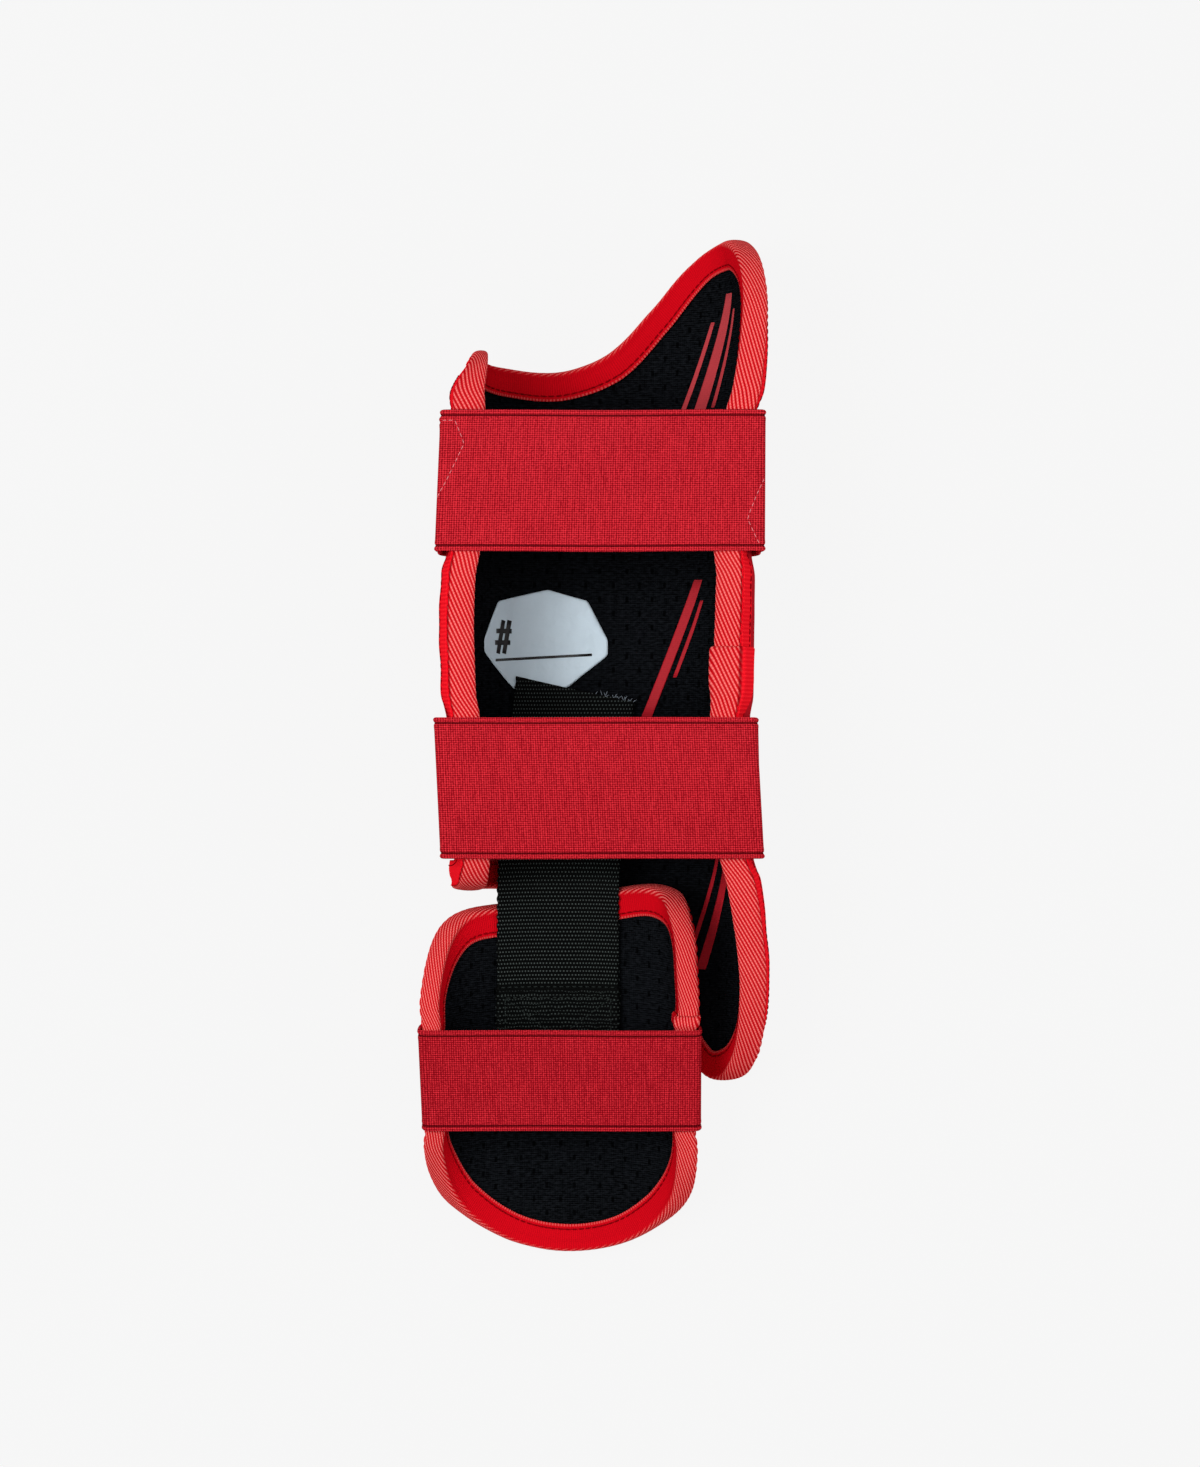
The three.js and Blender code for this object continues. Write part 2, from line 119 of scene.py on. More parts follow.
class BandSizes(bpy.types.PropertyGroup):
    wall: length("Thickness", "Thickness of the elastic", 1.4)
    wide: length("Wide band", "Width of the two shin bands", 52)
    narrow: length("Narrow band", "Width of the foot band", 38.5)
    upper_y: length("Upper band", "Middle of the upper band", 93)
    middle_y: length("Middle band", "Middle of the middle band", -20)
    lower_y: length("Lower band", "Middle of the lower band", -129.5)
    bend: length("Bend", "Bend of a band over a rim", 2.6)
    gap: length("Gap", "Clearance between a band and the tape", 0.5)
    end_share: share("End", "Where a band ends, as a share of the half girth", 0.56)
    hook_wall: length("Hook patch", "Thickness of a hook patch", 0.8)
    hook_share: share("Hook length", "Length of a hook patch as a share of the half girth", 0.2)
    hook_inset: length("Hook inset", "Border of elastic round a hook patch", 4)


class WebbingSizes(bpy.types.PropertyGroup):
    wall: length("Thickness", "Thickness of the webbing", 1.8)
    width: length("Width", "Width of the webbing", 51)
    top: length("Top", "Upper end", 17)
    end: length("End", "Lower end", -136)
    centre_x: length("Centre", "Place of the webbing across the shin panel", -16)
    turn: share("Turn", "Slant of the upper end", 0.19)
    climb_start: length("Climb start", "Where it leaves the shin panel", -20)
    climb_end: length("Climb end", "Where it lies on the foot pad", -58)
    rib: length("Rib pitch", "Spacing of the ribs", 1.5)
    seam_y: length("Seam", "Where it is sewn to the foot pad", -94)


class LabelSizes(bpy.types.PropertyGroup):
    wall: length("Thickness", "Thickness of the label", 0.5)
    width: length("Width", "Width of the label", 55)
    height: length("Height", "Height of the label", 43)
    centre_s: length("Across", "Place round the lining", -24.5)
    centre_y: length("Along", "Place along the lining", 33.5)


class Colours(bpy.types.PropertyGroup):
    cover: colour("Cover", "Woven cloth of the cover", 0.46, 0.010, 0.018)
    lining: colour("Lining", "Knit of the lining", 0.0008, 0.0009, 0.0011)
    lining_light: colour("Lining light", "Raised rows of the lining", 0.0125, 0.0145, 0.018)
    tape: colour("Tape", "Flanges of the edge tape", 0.62, 0.0028, 0.0095)
    # The fold's ground is a darker red and its cords a pale pink: over the red twill, painted shade between
    # the cords and painted highlight on their crests.
    fold: colour("Fold", "Ground of the tape's fold", 0.45, 0.002, 0.006)
    cord: colour("Cord", "Raised cords of the tape's fold", 0.90, 0.180, 0.168)
    elastic: colour("Elastic", "Ground of the elastic", 0.18, 0.002, 0.006)
    elastic_light: colour("Elastic light", "Raised threads of the elastic", 0.62, 0.024, 0.036)
    webbing: colour("Webbing", "Black webbing", 0.0012, 0.0014, 0.0014)
    webbing_light: colour("Webbing light", "Raised yarns of the webbing", 0.068, 0.085, 0.080)
    label: colour("Label", "Film of the label", 0.61, 0.737, 0.822)
    ink: colour("Ink", "Print on the label", 0.002, 0.002, 0.0025)
    print: colour("Print", "Red film on the lining", 0.50, 0.011, 0.022)
    pink_thread: colour("Band thread", "Thread of the band seams", 0.80, 0.22, 0.24)
    floor: colour("Floor", "Pale studio floor", 0.90, 0.90, 0.90)


# Tables of the panels. along is a share of the panel's length, left and right are shares of the half
# width, the leans are shares of the sides' lean, and the walls are shares of the full thickness.

STATION_COLUMNS = ("along", "left", "left_lean", "left_wall", "right", "right_lean", "right_wall")
SHIN_STATIONS = [
    (0.00, 0.93, 0.9, 0.94, 0.965, 0.3, 0.82),
    (0.04, 0.93, 0.9, 0.94, 1.04, 0.25, 0.82),
    (0.10, 0.93, 0.9, 0.94, 1.08, 0.25, 0.84),
    (0.20, 0.93, 0.9, 0.94, 1.06, 0.5, 0.9),
    (0.25, 0.965, 0.8, 0.94, 1.038, 0.75, 0.92),
    (0.32, 1.01, 0.75, 0.94, 1.02, 0.95, 0.94),
    (0.44, 1.035, 0.75, 0.94, 1.01, 1.15, 0.94),
    (0.54, 1.05, 0.75, 0.94, 1.015, 1.1, 0.94),
    (0.66, 1.03, 0.8, 0.94, 1.025, 0.95, 0.94),
    (0.76, 1.01, 0.6, 1.0, 1.04, 0.7, 0.93),
    (0.81, 0.965, 0.45, 0.98, 1.055, 0.4, 0.9),
    (0.86, 0.88, 0.5, 0.5, 1.056, 0.0, 0.82),
    (0.93, 0.82, 0.5, 0.45, 1.036, -0.4, 0.74),
    (1.00, 0.8, 0.5, 0.45, 0.94, -0.85, 0.72),
]
PAD_STATIONS = [
    (0.00, 0.9, 0, 0.62, 0.9, 0, 0.66),
    (0.30, 1.0, 0, 0.62, 1.0, 0, 0.66),
    (0.80, 1.0, 0, 0.62, 1.0, 0, 0.66),
    (0.92, 0.74, 0, 0.64, 0.88, 0, 0.68),
    (1.00, 0.5, 0, 0.7, 0.6, 0, 0.7),
]

# Points of the top and foot edges: side is a share of the half girth, along one of the panel's length.
SHIN_TOP = [
    (-1.0, 0.745), (-0.975, 0.8), (-0.905, 0.835), (-0.8, 0.854), (-0.68, 0.859), (-0.4, 0.847),
    (-0.15, 0.843), (0.03, 0.864), (0.2, 0.918), (0.34, 0.966), (0.44, 0.986), (0.56, 0.993),
    (0.72, 0.988), (0.9, 0.962), (0.98, 0.92), (1.0, 0.87),
]
SHIN_FOOT = [
    (-1.0, 0.32), (-0.985, 0.275), (-0.92, 0.248), (-0.8, 0.237), (-0.6, 0.234), (-0.35, 0.232),
    (-0.1, 0.212), (0.08, 0.172), (0.22, 0.1), (0.33, 0.036), (0.45, 0.006), (0.59, 0.013),
    (0.73, 0.05), (0.86, 0.12), (0.95, 0.2), (1.0, 0.31),
]
PAD_TOP = [
    (-1.0, 0.62), (-0.945, 0.762), (-0.81, 0.866), (-0.62, 0.928), (-0.35, 0.945), (0, 0.952), (0.35, 0.99),
    (0.62, 1.006), (0.86, 0.972), (0.97, 0.89), (1.0, 0.76),
]
PAD_FOOT = [
    (-1.0, 0.43), (-0.965, 0.345), (-0.87, 0.268), (-0.63, 0.132), (-0.3, 0.031), (0.06, 0.0), (0.4, 0.03),
    (0.7, 0.125), (0.92, 0.25), (0.98, 0.34), (1.0, 0.43),
]

# Corners of the label as shares of its half width and half height.
LABEL_CORNERS = [
    (-1, 0.1), (-0.7, 0.78), (0.12, 1), (0.72, 0.8), (1, 0.1), (1, -0.17), (0.45, -0.72), (-0.06, -1),
    (-0.42, -0.76), (-1, -0.1),
]


# Plain maths on arrays


def ease(x, low, high):
    """0 below low, 1 above high, and the cubic 3t^2 - 2t^3 between them."""
    t = np.clip((x - low) / (high - low), 0, 1)
    return t * t * (3 - 2 * t)


def mix(a, b, t):
    """a where t is 0, b where it is 1, and a straight line between them."""
    return a + (b - a) * t


def smooth(places, values, at):
    """Cubic through the values, whose slope at each place is that between its neighbours."""
    places, values = np.asarray(places, float), np.asarray(values, float)
    slopes = np.gradient(values, places)
    at = np.clip(at, places[0], places[-1])
    k = np.clip(np.searchsorted(places, at, side="right") - 1, 0, len(places) - 2)
    span = places[k + 1] - places[k]
    t = (at - places[k]) / span
    low = values[k] * (1 + 2 * t) + slopes[k] * span * t
    high = values[k + 1] * (3 - 2 * t) - slopes[k + 1] * span * (1 - t)
    return low * (1 - t) ** 2 + high * t**2


def run_along(points):
    """Distance from the first of a line's points to each of them, along the line."""
    return np.concatenate([[0], np.cumsum(np.linalg.norm(np.diff(points, axis=0), axis=1))])


def along_line(points, count):
    """Evenly spaced points on a line of points, with its length."""
    run = run_along(points)
    at = np.linspace(0, run[-1], count)
    return np.stack([np.interp(at, run, points[:, k]) for k in range(points.shape[1])], 1), run[-1]


def rounded(edge, radius):
    """Height of a round border at a distance edge from it: (t(2 - t))^0.5, with t = edge / radius up to 1."""
    t = np.clip(edge / radius, 0, 1)
    return np.sqrt(t * (2 - t))


def noise(x, y, seed, scale, octaves=2):
    """Soft wavy noise: a sum of sines whose directions and phases come from a seeded generator."""
    rng = np.random.default_rng(seed)
    total = np.zeros(np.broadcast(x, y).shape)
    for k in range(octaves * 4):
        turn, phase = rng.uniform(0, TAU, 2)
        wave = TAU / scale * (1 + k // 4) * rng.uniform(0.7, 1.3)
        total = total + np.sin(wave * (x * np.cos(turn) + y * np.sin(turn)) + phase) / (1 + k // 4)
    return total / (octaves * 2.5)


# The bent panels


class BentPanel:
    """A panel bent round its length: a flat line, a front arc, a side arc and a straight arm."""

    # How far beyond a band's borders it still pulls the sides in, and where round the wall the pull
    # starts and is full.
    pull_fade = 9 * MM
    pull_span = (40 * MM, 80 * MM)

    def __init__(self, form):
        self.__dict__.update(form)
        table = np.array(self.stations, float)
        self.table = dict(zip(STATION_COLUMNS, table.T))
        self.top = self.edge(self.top_table)
        self.foot_edge = self.edge(self.foot_table)
        self.loop = self.edge_loop()

    def station(self, y, left, name):
        """The value of a column of the stations at y, on the left or right side."""
        along = (y - self.foot) / self.length
        a = smooth(self.table["along"], self.table["left" + name], along)
        b = smooth(self.table["along"], self.table["right" + name], along)
        return np.where(left, a, b)

    def walk(self, s, y):
        """Follows the mid wall for a distance |s|: x, z, heading, and the share of the wall there."""
        left, s = s < 0, np.abs(s)
        end = self.end_angle + self.lean * self.station(y, left, "_lean")
        curve = self.side_radius(self.station(y, left, ""))
        front = np.clip((s - self.flat) / self.front_radius, 0, self.front_angle)
        rest = s - self.flat - self.front_radius * self.front_angle
        side = np.clip(rest / curve, 0, end - self.front_angle)
        arm = np.maximum(rest - curve * (end - self.front_angle), 0)
        heading = front + side
        x = np.minimum(s, self.flat) + self.front_radius * np.sin(front)
        x = x + curve * (np.sin(self.front_angle + side) - np.sin(self.front_angle)) + arm * np.cos(end)
        z = self.front_radius * (1 - np.cos(front))
        z = z + curve * (np.cos(self.front_angle) - np.cos(self.front_angle + side)) + arm * np.sin(end)
        wall = mix(1, self.station(y, left, "_wall"), ease(s, self.flat, self.flat + self.front_radius))
        return x, z, heading, wall

    def girth(self, y, left):
        """The distance at which the mid wall reaches the rim's height."""
        end = self.end_angle + self.lean * self.station(y, left, "_lean")
        curve = self.side_radius(self.station(y, left, ""))
        bent = self.flat + self.front_radius * self.front_angle + curve * (end - self.front_angle)
        z = self.front_radius * (1 - np.cos(self.front_angle))
        z = z + curve * (np.cos(self.front_angle) - np.cos(end))
        return bent + (self.rim - self.base - z) / np.sin(end)

    def pull(self, s, y):
        """How far the bands pull the sides in: in full under a band, fading beyond its borders."""
        under = 0.0
        for centre, width in self.bands:
            under = under + 1 - ease(np.abs(y - centre), width / 2 - MM, width / 2 + self.pull_fade)
        return self.squeeze * under * ease(np.abs(s), *self.pull_span)

    def local(self, s, y, out):
        """A point at a distance s round, at y, and out from the mid wall."""
        s, y, out = np.broadcast_arrays(s, y, out)
        x, z, heading, wall = self.walk(s, y)
        x = (x + out * wall * np.sin(heading) - self.pull(s, y)) * np.where(s < 0, -1, 1)
        return np.stack([x, y, self.base + z - out * wall * np.cos(heading)], -1)

    def place(self, points):
        """Tips the panel about X and moves it to its place."""
        c, s = np.cos(self.tilt), np.sin(self.tilt)
        x, y, z = points[..., 0], points[..., 1], points[..., 2]
        return np.stack([x + self.centre_x, y * c - z * s + self.shift_y, y * s + z * c], -1)

    def at(self, s, y, out):
        """The same point as local gives, in its place on the guard."""
        return self.place(self.local(s, y, out))

    def edge(self, table):
        """Dense points (s, y) of a smooth line through an edge table."""
        side, along = np.array(table, float).T
        y = self.foot + along * self.length
        s = side * self.girth(y, side < 0)
        run = np.concatenate([[0], np.cumsum(np.hypot(np.diff(s), np.diff(y)) ** 0.5)])
        at = np.linspace(0, run[-1], 900)
        points = np.stack([smooth(run, s, at), smooth(run, y, at)], 1)
        return along_line(points, 600)[0]

    def edge_loop(self):
        """The whole edge, anticlockwise seen from the back, from the left end of the foot edge."""
        right_y = np.linspace(self.foot_edge[-1, 1], self.top[-1, 1], 300)[1:-1]
        left_y = np.linspace(self.top[0, 1], self.foot_edge[0, 1], 300)[1:-1]
        right = np.stack([self.girth(right_y, False), right_y], 1)
        left = np.stack([-self.girth(left_y, True), left_y], 1)
        return np.concatenate([self.foot_edge, right, self.top[::-1], left, self.foot_edge[:1]])

    def flat_grid(self, columns, rows):
        """Pattern points between the two edges; the rims keep the full girth."""
        foot = along_line(self.foot_edge, columns)[0]
        top = along_line(self.top, columns)[0]
        v = np.linspace(0, 1, rows)[:, None]
        y = mix(foot[:, 1], top[:, 1], v)
        left = foot[:, 0] + top[:, 0] < 0
        low = foot[:, 0] / self.girth(foot[:, 1], left)
        high = top[:, 0] / self.girth(top[:, 1], left)
        return mix(low, high, v) * self.girth(y, left), y

    def edge_distance(self, s, y):
        """Distance from each pattern point to the edge."""
        marks = along_line(self.loop, 500)[0]
        flat = np.stack([s.ravel(), y.ravel()], 1)
        gaps = [
            np.hypot(*(part[:, None] - marks).transpose(2, 0, 1)).min(1) for part in np.array_split(flat, 40)
        ]
        return np.concatenate(gaps).reshape(s.shape)


def settings(name):
    """The property group of this name."""
    return getattr(bpy.context.scene, "guard_" + name)


def wall_half():
    """Half of the thickness of cover, clearance and lining."""
    wall = settings("wall")
    return (wall.cover + wall.gap + wall.lining) / 2


def tape_face():
    """The outer face of the edge tape, measured from the mid wall."""
    wall = settings("wall")
    return wall_half() + wall.tape_gap + wall.tape


def shin_panel():
    """The shin panel, whose side bends reach its half width at each station."""
    size, band = settings("shin"), settings("band")
    sine = np.sin(size.front_angle)

    def side_radius(part):
        return (size.half_width * part - size.flat - size.front_radius * sine) / (1 - sine)

    return BentPanel({
        "length": size.length, "foot": -size.below, "base": wall_half() + settings("wall").plate_rise,
        "flat": size.flat, "front_radius": size.front_radius, "front_angle": size.front_angle,
        "side_radius": side_radius,
        "end_angle": np.pi / 2, "lean": size.lean, "rim": size.rim, "stations": SHIN_STATIONS,
        "top_table": SHIN_TOP, "foot_table": SHIN_FOOT, "plate_reach": size.plate_reach, "swell": 1.4 * MM,
        "bands": [(band.upper_y, band.wide), (band.middle_y, band.wide)], "squeeze": 1.2 * MM,
        "tilt": 0.0, "centre_x": 0.0, "shift_y": 0.0,
    })


def pad_panel():
    """The foot pad, tipped about X with its lower end in place."""
    size = settings("pad")
    return BentPanel({
        "length": size.length, "foot": 0.0, "base": tape_face(), "flat": size.flat,
        "front_radius": size.front_radius, "front_angle": size.front_angle,
        "side_radius": lambda part: size.side_radius * part, "end_angle": size.end_angle, "lean": 0.0,
        "rim": size.rim, "stations": PAD_STATIONS, "top_table": PAD_TOP, "foot_table": PAD_FOOT,
        "plate_reach": 0.0, "swell": 0.0, "tilt": size.tilt, "centre_x": size.centre_x, "shift_y": size.end_y,
        "bands": [(pad_band_y(), settings("band").narrow)], "squeeze": 1.9 * MM,
    })


PANELS = {"shin": shin_panel, "foot": pad_panel}


# Meshes from arrays


def make_piece(name, points, faces, pattern, material, caps=()):
    """Builds a smooth mesh object from points, quads and end caps, with its pattern as a UV map."""
    mesh = bpy.data.meshes.new(name)
    corners = np.concatenate([faces.ravel(), *[np.asarray(cap) for cap in caps]]).astype(np.int32)
    sizes = np.concatenate([np.full(len(faces), faces.shape[1]), [len(cap) for cap in caps]]).astype(np.int32)
    starts = np.concatenate([[0], np.cumsum(sizes)[:-1]]).astype(np.int32)
    mesh.vertices.add(len(points))
    mesh.vertices.foreach_set("co", np.asarray(points, np.float32).ravel())
    mesh.loops.add(len(corners))
    mesh.loops.foreach_set("vertex_index", corners)
    mesh.polygons.add(len(sizes))
    mesh.polygons.foreach_set("loop_start", starts)
    mesh.update(calc_edges=True)
    layer = mesh.uv_layers.new(name="pattern")
    layer.data.foreach_set("uv", (pattern[corners] / PATTERN_UNIT).astype(np.float32).ravel())
    mesh.polygons.foreach_set("use_smooth", np.ones(len(sizes), bool))
    mesh.materials.append(material)
    piece = bpy.data.objects.new(name, mesh)
    bpy.context.collection.objects.link(piece)
    turn_outwards(mesh, points, corners, starts)
    return piece


def turn_outwards(mesh, points, corners, starts):
    """Flips the faces if the enclosed volume is negative: the sum of a.(b x c) over three corners of each."""
    a, b, c = (points[corners[starts + k]] for k in (0, 1, 2))
    volume = np.einsum("ij,ij->", a - points.mean(0), np.cross(b - points.mean(0), c - points.mean(0)))
    if volume < 0:
        mesh.flip_normals()


def grid_faces(rows, columns, close_columns=False):
    """Quads of a grid whose point (j, i) has the number j * columns + i."""
    j = np.arange(rows - 1)[:, None]
    i = np.arange(columns if close_columns else columns - 1)[None, :]
    next_j, next_i = j + 1, (i + 1) % columns
    quads = [j * columns + i, j * columns + next_i, next_j * columns + next_i, next_j * columns + i]
    return np.stack([np.broadcast_to(q, np.broadcast(j, i).shape) for q in quads], -1).reshape(-1, 4)


def slab(name, outer, inner, pattern, material):
    """A closed wall between two grids of the same size."""
    rows, columns = outer.shape[:2]
    count = rows * columns
    front = grid_faces(rows, columns)
    rim = np.concatenate([
        np.arange(columns), np.arange(1, rows) * columns + columns - 1,
        np.arange(columns - 2, -1, -1) + (rows - 1) * columns, np.arange(rows - 2, 0, -1) * columns,
    ])
    after = np.roll(rim, -1)
    side = np.stack([after, rim, rim + count, after + count], 1)
    points = np.concatenate([outer.reshape(-1, 3), inner.reshape(-1, 3)])
    flat = np.tile(pattern.reshape(-1, 2), (2, 1))
    return make_piece(name, points, np.concatenate([front, front[:, ::-1] + count, side]), flat, material)


def sweep(name, sections, pattern, material):
    """Closed sections, one row each, joined along their path and capped at both ends."""
    rows, marks = sections.shape[:2]
    faces = grid_faces(rows, marks, close_columns=True)
    caps = [np.arange(marks)[::-1], np.arange(marks) + (rows - 1) * marks]
    return make_piece(name, sections.reshape(-1, 3), faces, pattern.reshape(-1, 2), material, caps)


# Points round a stitch and rings along it.
STITCH_SIDES = 6
STITCH_RINGS = 7


def stitch_run(name, lines, material, stitch, pause, radius):
    """Stitches along lines of (points, normals): each is a thin tube whose ends dip into the cloth.

    Along a stitch t runs from 0 to 1; it stands radius * (4t(1 - t))^0.5 - radius / 2 over the cloth.
    """
    starts, ends, ups = [], [], []
    for points, normals in lines:
        run = run_along(points)
        count = max(1, int(run[-1] // (stitch + pause)))
        begin = (np.arange(count) + 0.5) * run[-1] / count - stitch / 2
        up = np.stack([np.interp(begin + stitch / 2, run, normals[:, k]) for k in range(3)], 1)
        starts.append(np.stack([np.interp(begin, run, points[:, k]) for k in range(3)], 1))
        ends.append(np.stack([np.interp(begin + stitch, run, points[:, k]) for k in range(3)], 1))
        ups.append(up / np.linalg.norm(up, axis=1, keepdims=True))
    start, end, up = (np.concatenate(part) for part in (starts, ends, ups))
    along = (end - start) / np.linalg.norm(end - start, axis=1, keepdims=True)
    across = np.cross(up, along)
    t = np.linspace(0, 1, STITCH_RINGS)[None, :, None, None]
    turn = np.linspace(0, TAU, STITCH_SIDES, endpoint=False)[None, None, :, None]
    bow = np.sqrt(np.clip(4 * t * (1 - t), 0, 1))
    size = radius * (0.35 + 0.65 * bow)
    middle = mix(start[:, None, None], end[:, None, None], t) + up[:, None, None] * radius * (bow - 0.5)
    tubes = middle + size * (np.cos(turn) * across[:, None, None] + np.sin(turn) * up[:, None, None])
    count = len(start)
    one = grid_faces(STITCH_RINGS, STITCH_SIDES, close_columns=True)
    lid = np.arange(STITCH_SIDES)
    lids = np.stack([lid[::-1], lid + (STITCH_RINGS - 1) * STITCH_SIDES])
    shift = np.arange(count)[:, None, None] * STITCH_RINGS * STITCH_SIDES
    faces = (one + shift).reshape(-1, 4)
    caps = (lids[None] + shift).reshape(-1, STITCH_SIDES)
    pattern = np.stack(np.broadcast_arrays(t * stitch, turn * radius), -1)
    pattern = pattern.reshape(1, STITCH_RINGS * STITCH_SIDES, 2)
    pattern = np.tile(pattern, (count, 1, 1)).reshape(-1, 2)
    return make_piece(name, tubes.reshape(-1, 3), faces, pattern, material, list(caps))


def dress(piece, slot, *nodes):
    """Lets a piece stand for its CAD nodes: hangs it on the root body and hides the nodes."""
    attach(piece, "root")
    if nodes:
        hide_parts(*nodes)
    return piece


# Shader maths


class Wire:
    """A socket that adds Math nodes when it meets an operator."""

    def __init__(self, maker, socket):
        self.maker, self.socket = maker, socket

    def maths(self, operation, *others):
        """A Math node that takes this socket first."""
        return self.maker.node("ShaderNodeMath", {"operation": operation}, [self, *others])

    def __add__(self, other):
        return self.maths("ADD", other)

    __radd__ = __add__

    def __sub__(self, other):
        return self.maths("SUBTRACT", other)

    def __rsub__(self, other):
        return self.maker.node("ShaderNodeMath", {"operation": "SUBTRACT"}, [other, self])

    def __mul__(self, other):
        return self.maths("MULTIPLY", other)

    __rmul__ = __mul__

    def __truediv__(self, other):
        return self.maths("DIVIDE", other)

    def wave(self, pitch, phase=0.0):
        """A sine of this length, from 0 to 1."""
        return (self * (TAU / pitch) + phase).maths("SINE") * 0.5 + 0.5

    def step(self, low, high):
        """0 below low and 1 above high, smooth between."""
        kind = {"interpolation_type": "SMOOTHSTEP", "clamp": True}
        sockets = {"Value": self, "From Min": low, "From Max": high}
        return self.maker.node("ShaderNodeMapRange", kind, sockets)

    def fraction(self, pitch):
        """Place within a cell of this size, from -0.5 to 0.5."""
        return (self / pitch).maths("FRACT") - 0.5

    def size(self):
        """The value without its sign."""
        return self.maths("ABSOLUTE")


# The materials made here get a prefix to their names.
DRESSED = "dressed_"


class Maker:
    """Builds one material. Its pattern coordinates are in millimetres."""

    def __init__(self, name):
        self.material = bpy.data.materials.new(DRESSED + name)
        self.material.use_nodes = True
        self.tree = self.material.node_tree
        self.tree.nodes.clear()
        self.shader = self.tree.nodes.new("ShaderNodeBsdfPrincipled")
        output = self.tree.nodes.new("ShaderNodeOutputMaterial")
        self.tree.links.new(self.shader.outputs[0], output.inputs["Surface"])

    def node(self, kind, own=None, sockets=None, result=0):
        """Adds a node: its own settings first, then its sockets by name or number."""
        new = self.tree.nodes.new(kind)
        for key, value in (own or {}).items():
            setattr(new, key, value)
        pairs = sockets.items() if isinstance(sockets, dict) else enumerate(sockets or [])
        for key, value in pairs:
            self.plug(new.inputs[key], value)
        return Wire(self, new.outputs[result])

    def plug(self, socket, value):
        """Links a wire to a socket, or sets the socket's own value."""
        if isinstance(value, Wire):
            self.tree.links.new(value.socket, socket)
        elif isinstance(value, (tuple, list)) and len(value) == 3 and socket.type == "RGBA":
            socket.default_value = (*value, 1)
        else:
            socket.default_value = value

    def pattern(self):
        """The two pattern coordinates in millimetres."""
        uv = self.node("ShaderNodeUVMap", {"uv_map": "pattern"})
        parts = [self.node("ShaderNodeSeparateXYZ", None, [uv], k) for k in (0, 1)]
        return [part * (PATTERN_UNIT / MM) for part in parts]

    def vector(self, x, y):
        """A flat vector, for the clouds."""
        return self.node("ShaderNodeCombineXYZ", None, [x, y])

    def place(self):
        """The Object coordinates, in metres."""
        return self.node("ShaderNodeTexCoord", None, None, 3)

    def cloud(self, where, scale, detail=2.0, roughness=0.5):
        """Soft noise from 0 to 1."""
        sockets = {"Vector": where, "Scale": scale, "Detail": detail, "Roughness": roughness}
        return self.node("ShaderNodeTexNoise", None, sockets)

    def blend(self, factor, a, b):
        """Mixes two colours."""
        return self.node("ShaderNodeMix", {"data_type": "RGBA"}, {0: factor, 6: a, 7: b}, 2)

    def bump(self, height, distance, strength, under=None):
        """Turns a height from 0 to 1, of this distance in metres, into a normal."""
        sockets = {"Height": height, "Distance": distance, "Strength": strength}
        if under:
            sockets["Normal"] = under
        return self.node("ShaderNodeBump", None, sockets)

    def finish(self, **sockets):
        """Sets the shader's sockets and gives the material."""
        for key, value in sockets.items():
            self.plug(self.shader.inputs[key.replace("_", " ")], value)
        return self.material


def cached(make):
    """Keeps one copy of each material."""
    def get():
        return bpy.data.materials.get(DRESSED + make.__name__) or make()
    return get


@cached
def cover_cloth():
    """Plain woven red cloth over the shell."""
    m = Maker("cover_cloth")
    s, y = m.pattern()
    tone = tuple(settings("colours").cover)
    weave = s.wave(0.7) * y.wave(0.7) + s.wave(0.7, np.pi) * y.wave(0.7, np.pi)
    patch = m.cloud(m.place(), 38.0, 3.0)
    dark = tuple(c * 0.6 for c in tone)
    base = m.blend(weave * 0.5 + patch * 0.4, dark, tone)
    normal = m.bump(weave, 0.00008, 0.7, m.bump(patch, 0.0006, 0.35))
    return m.finish(Base_Color=base, Roughness=0.68 - patch * 0.1, Normal=normal, Specular_IOR_Level=0.0)


@cached
def lining_cloth():
    """Black knit with fine rows, loops and small slits for air on a staggered grid."""
    m = Maker("lining_cloth")
    s, y = m.pattern()
    tone = tuple(settings("colours").lining)
    wander = m.cloud(m.vector(s, y), 0.35, 2.0) - 0.5
    rows = (y + wander * 0.25).wave(0.82)
    loops = (s + wander * 0.2).wave(0.95)
    strands = m.cloud(m.vector(s * 0.42, y * 1.25), 1.0, 3.0, 0.65).step(0.35, 0.72)
    knit = rows * 0.25 + rows * loops * 0.25 + strands * 0.6
    row = (y / 5.4).maths("FLOOR")
    shifted = s + (row.maths("PINGPONG", 1.0)) * 5.3
    slot_s, slot_y = shifted.fraction(10.6) * 10.6, y.fraction(5.4) * 5.4
    slit = (1 - slot_s.size().step(0.32, 0.75)) * (1 - slot_y.size().step(0.75, 1.35))
    fuzz = m.cloud(m.vector(s, y), 1.6, 4.0, 0.7)
    patch = m.cloud(m.place(), 30.0, 2.0)
    light = tuple(settings("colours").lining_light)
    base = m.blend(knit * 0.75 + fuzz * 0.4 + patch * 0.25 - 0.4, tone, light)
    # Painted shade: the slits are drawn almost black, for the shade inside the holes.
    base = m.blend(slit * 0.8, base, (0.0004, 0.0004, 0.0005))
    normal = m.bump(knit + fuzz * 0.5 - slit * 2.0, 0.00016, 0.8, m.bump(patch, 0.001, 0.25))
    return m.finish(Base_Color=base, Roughness=0.86, Normal=normal, Specular_IOR_Level=0.0)


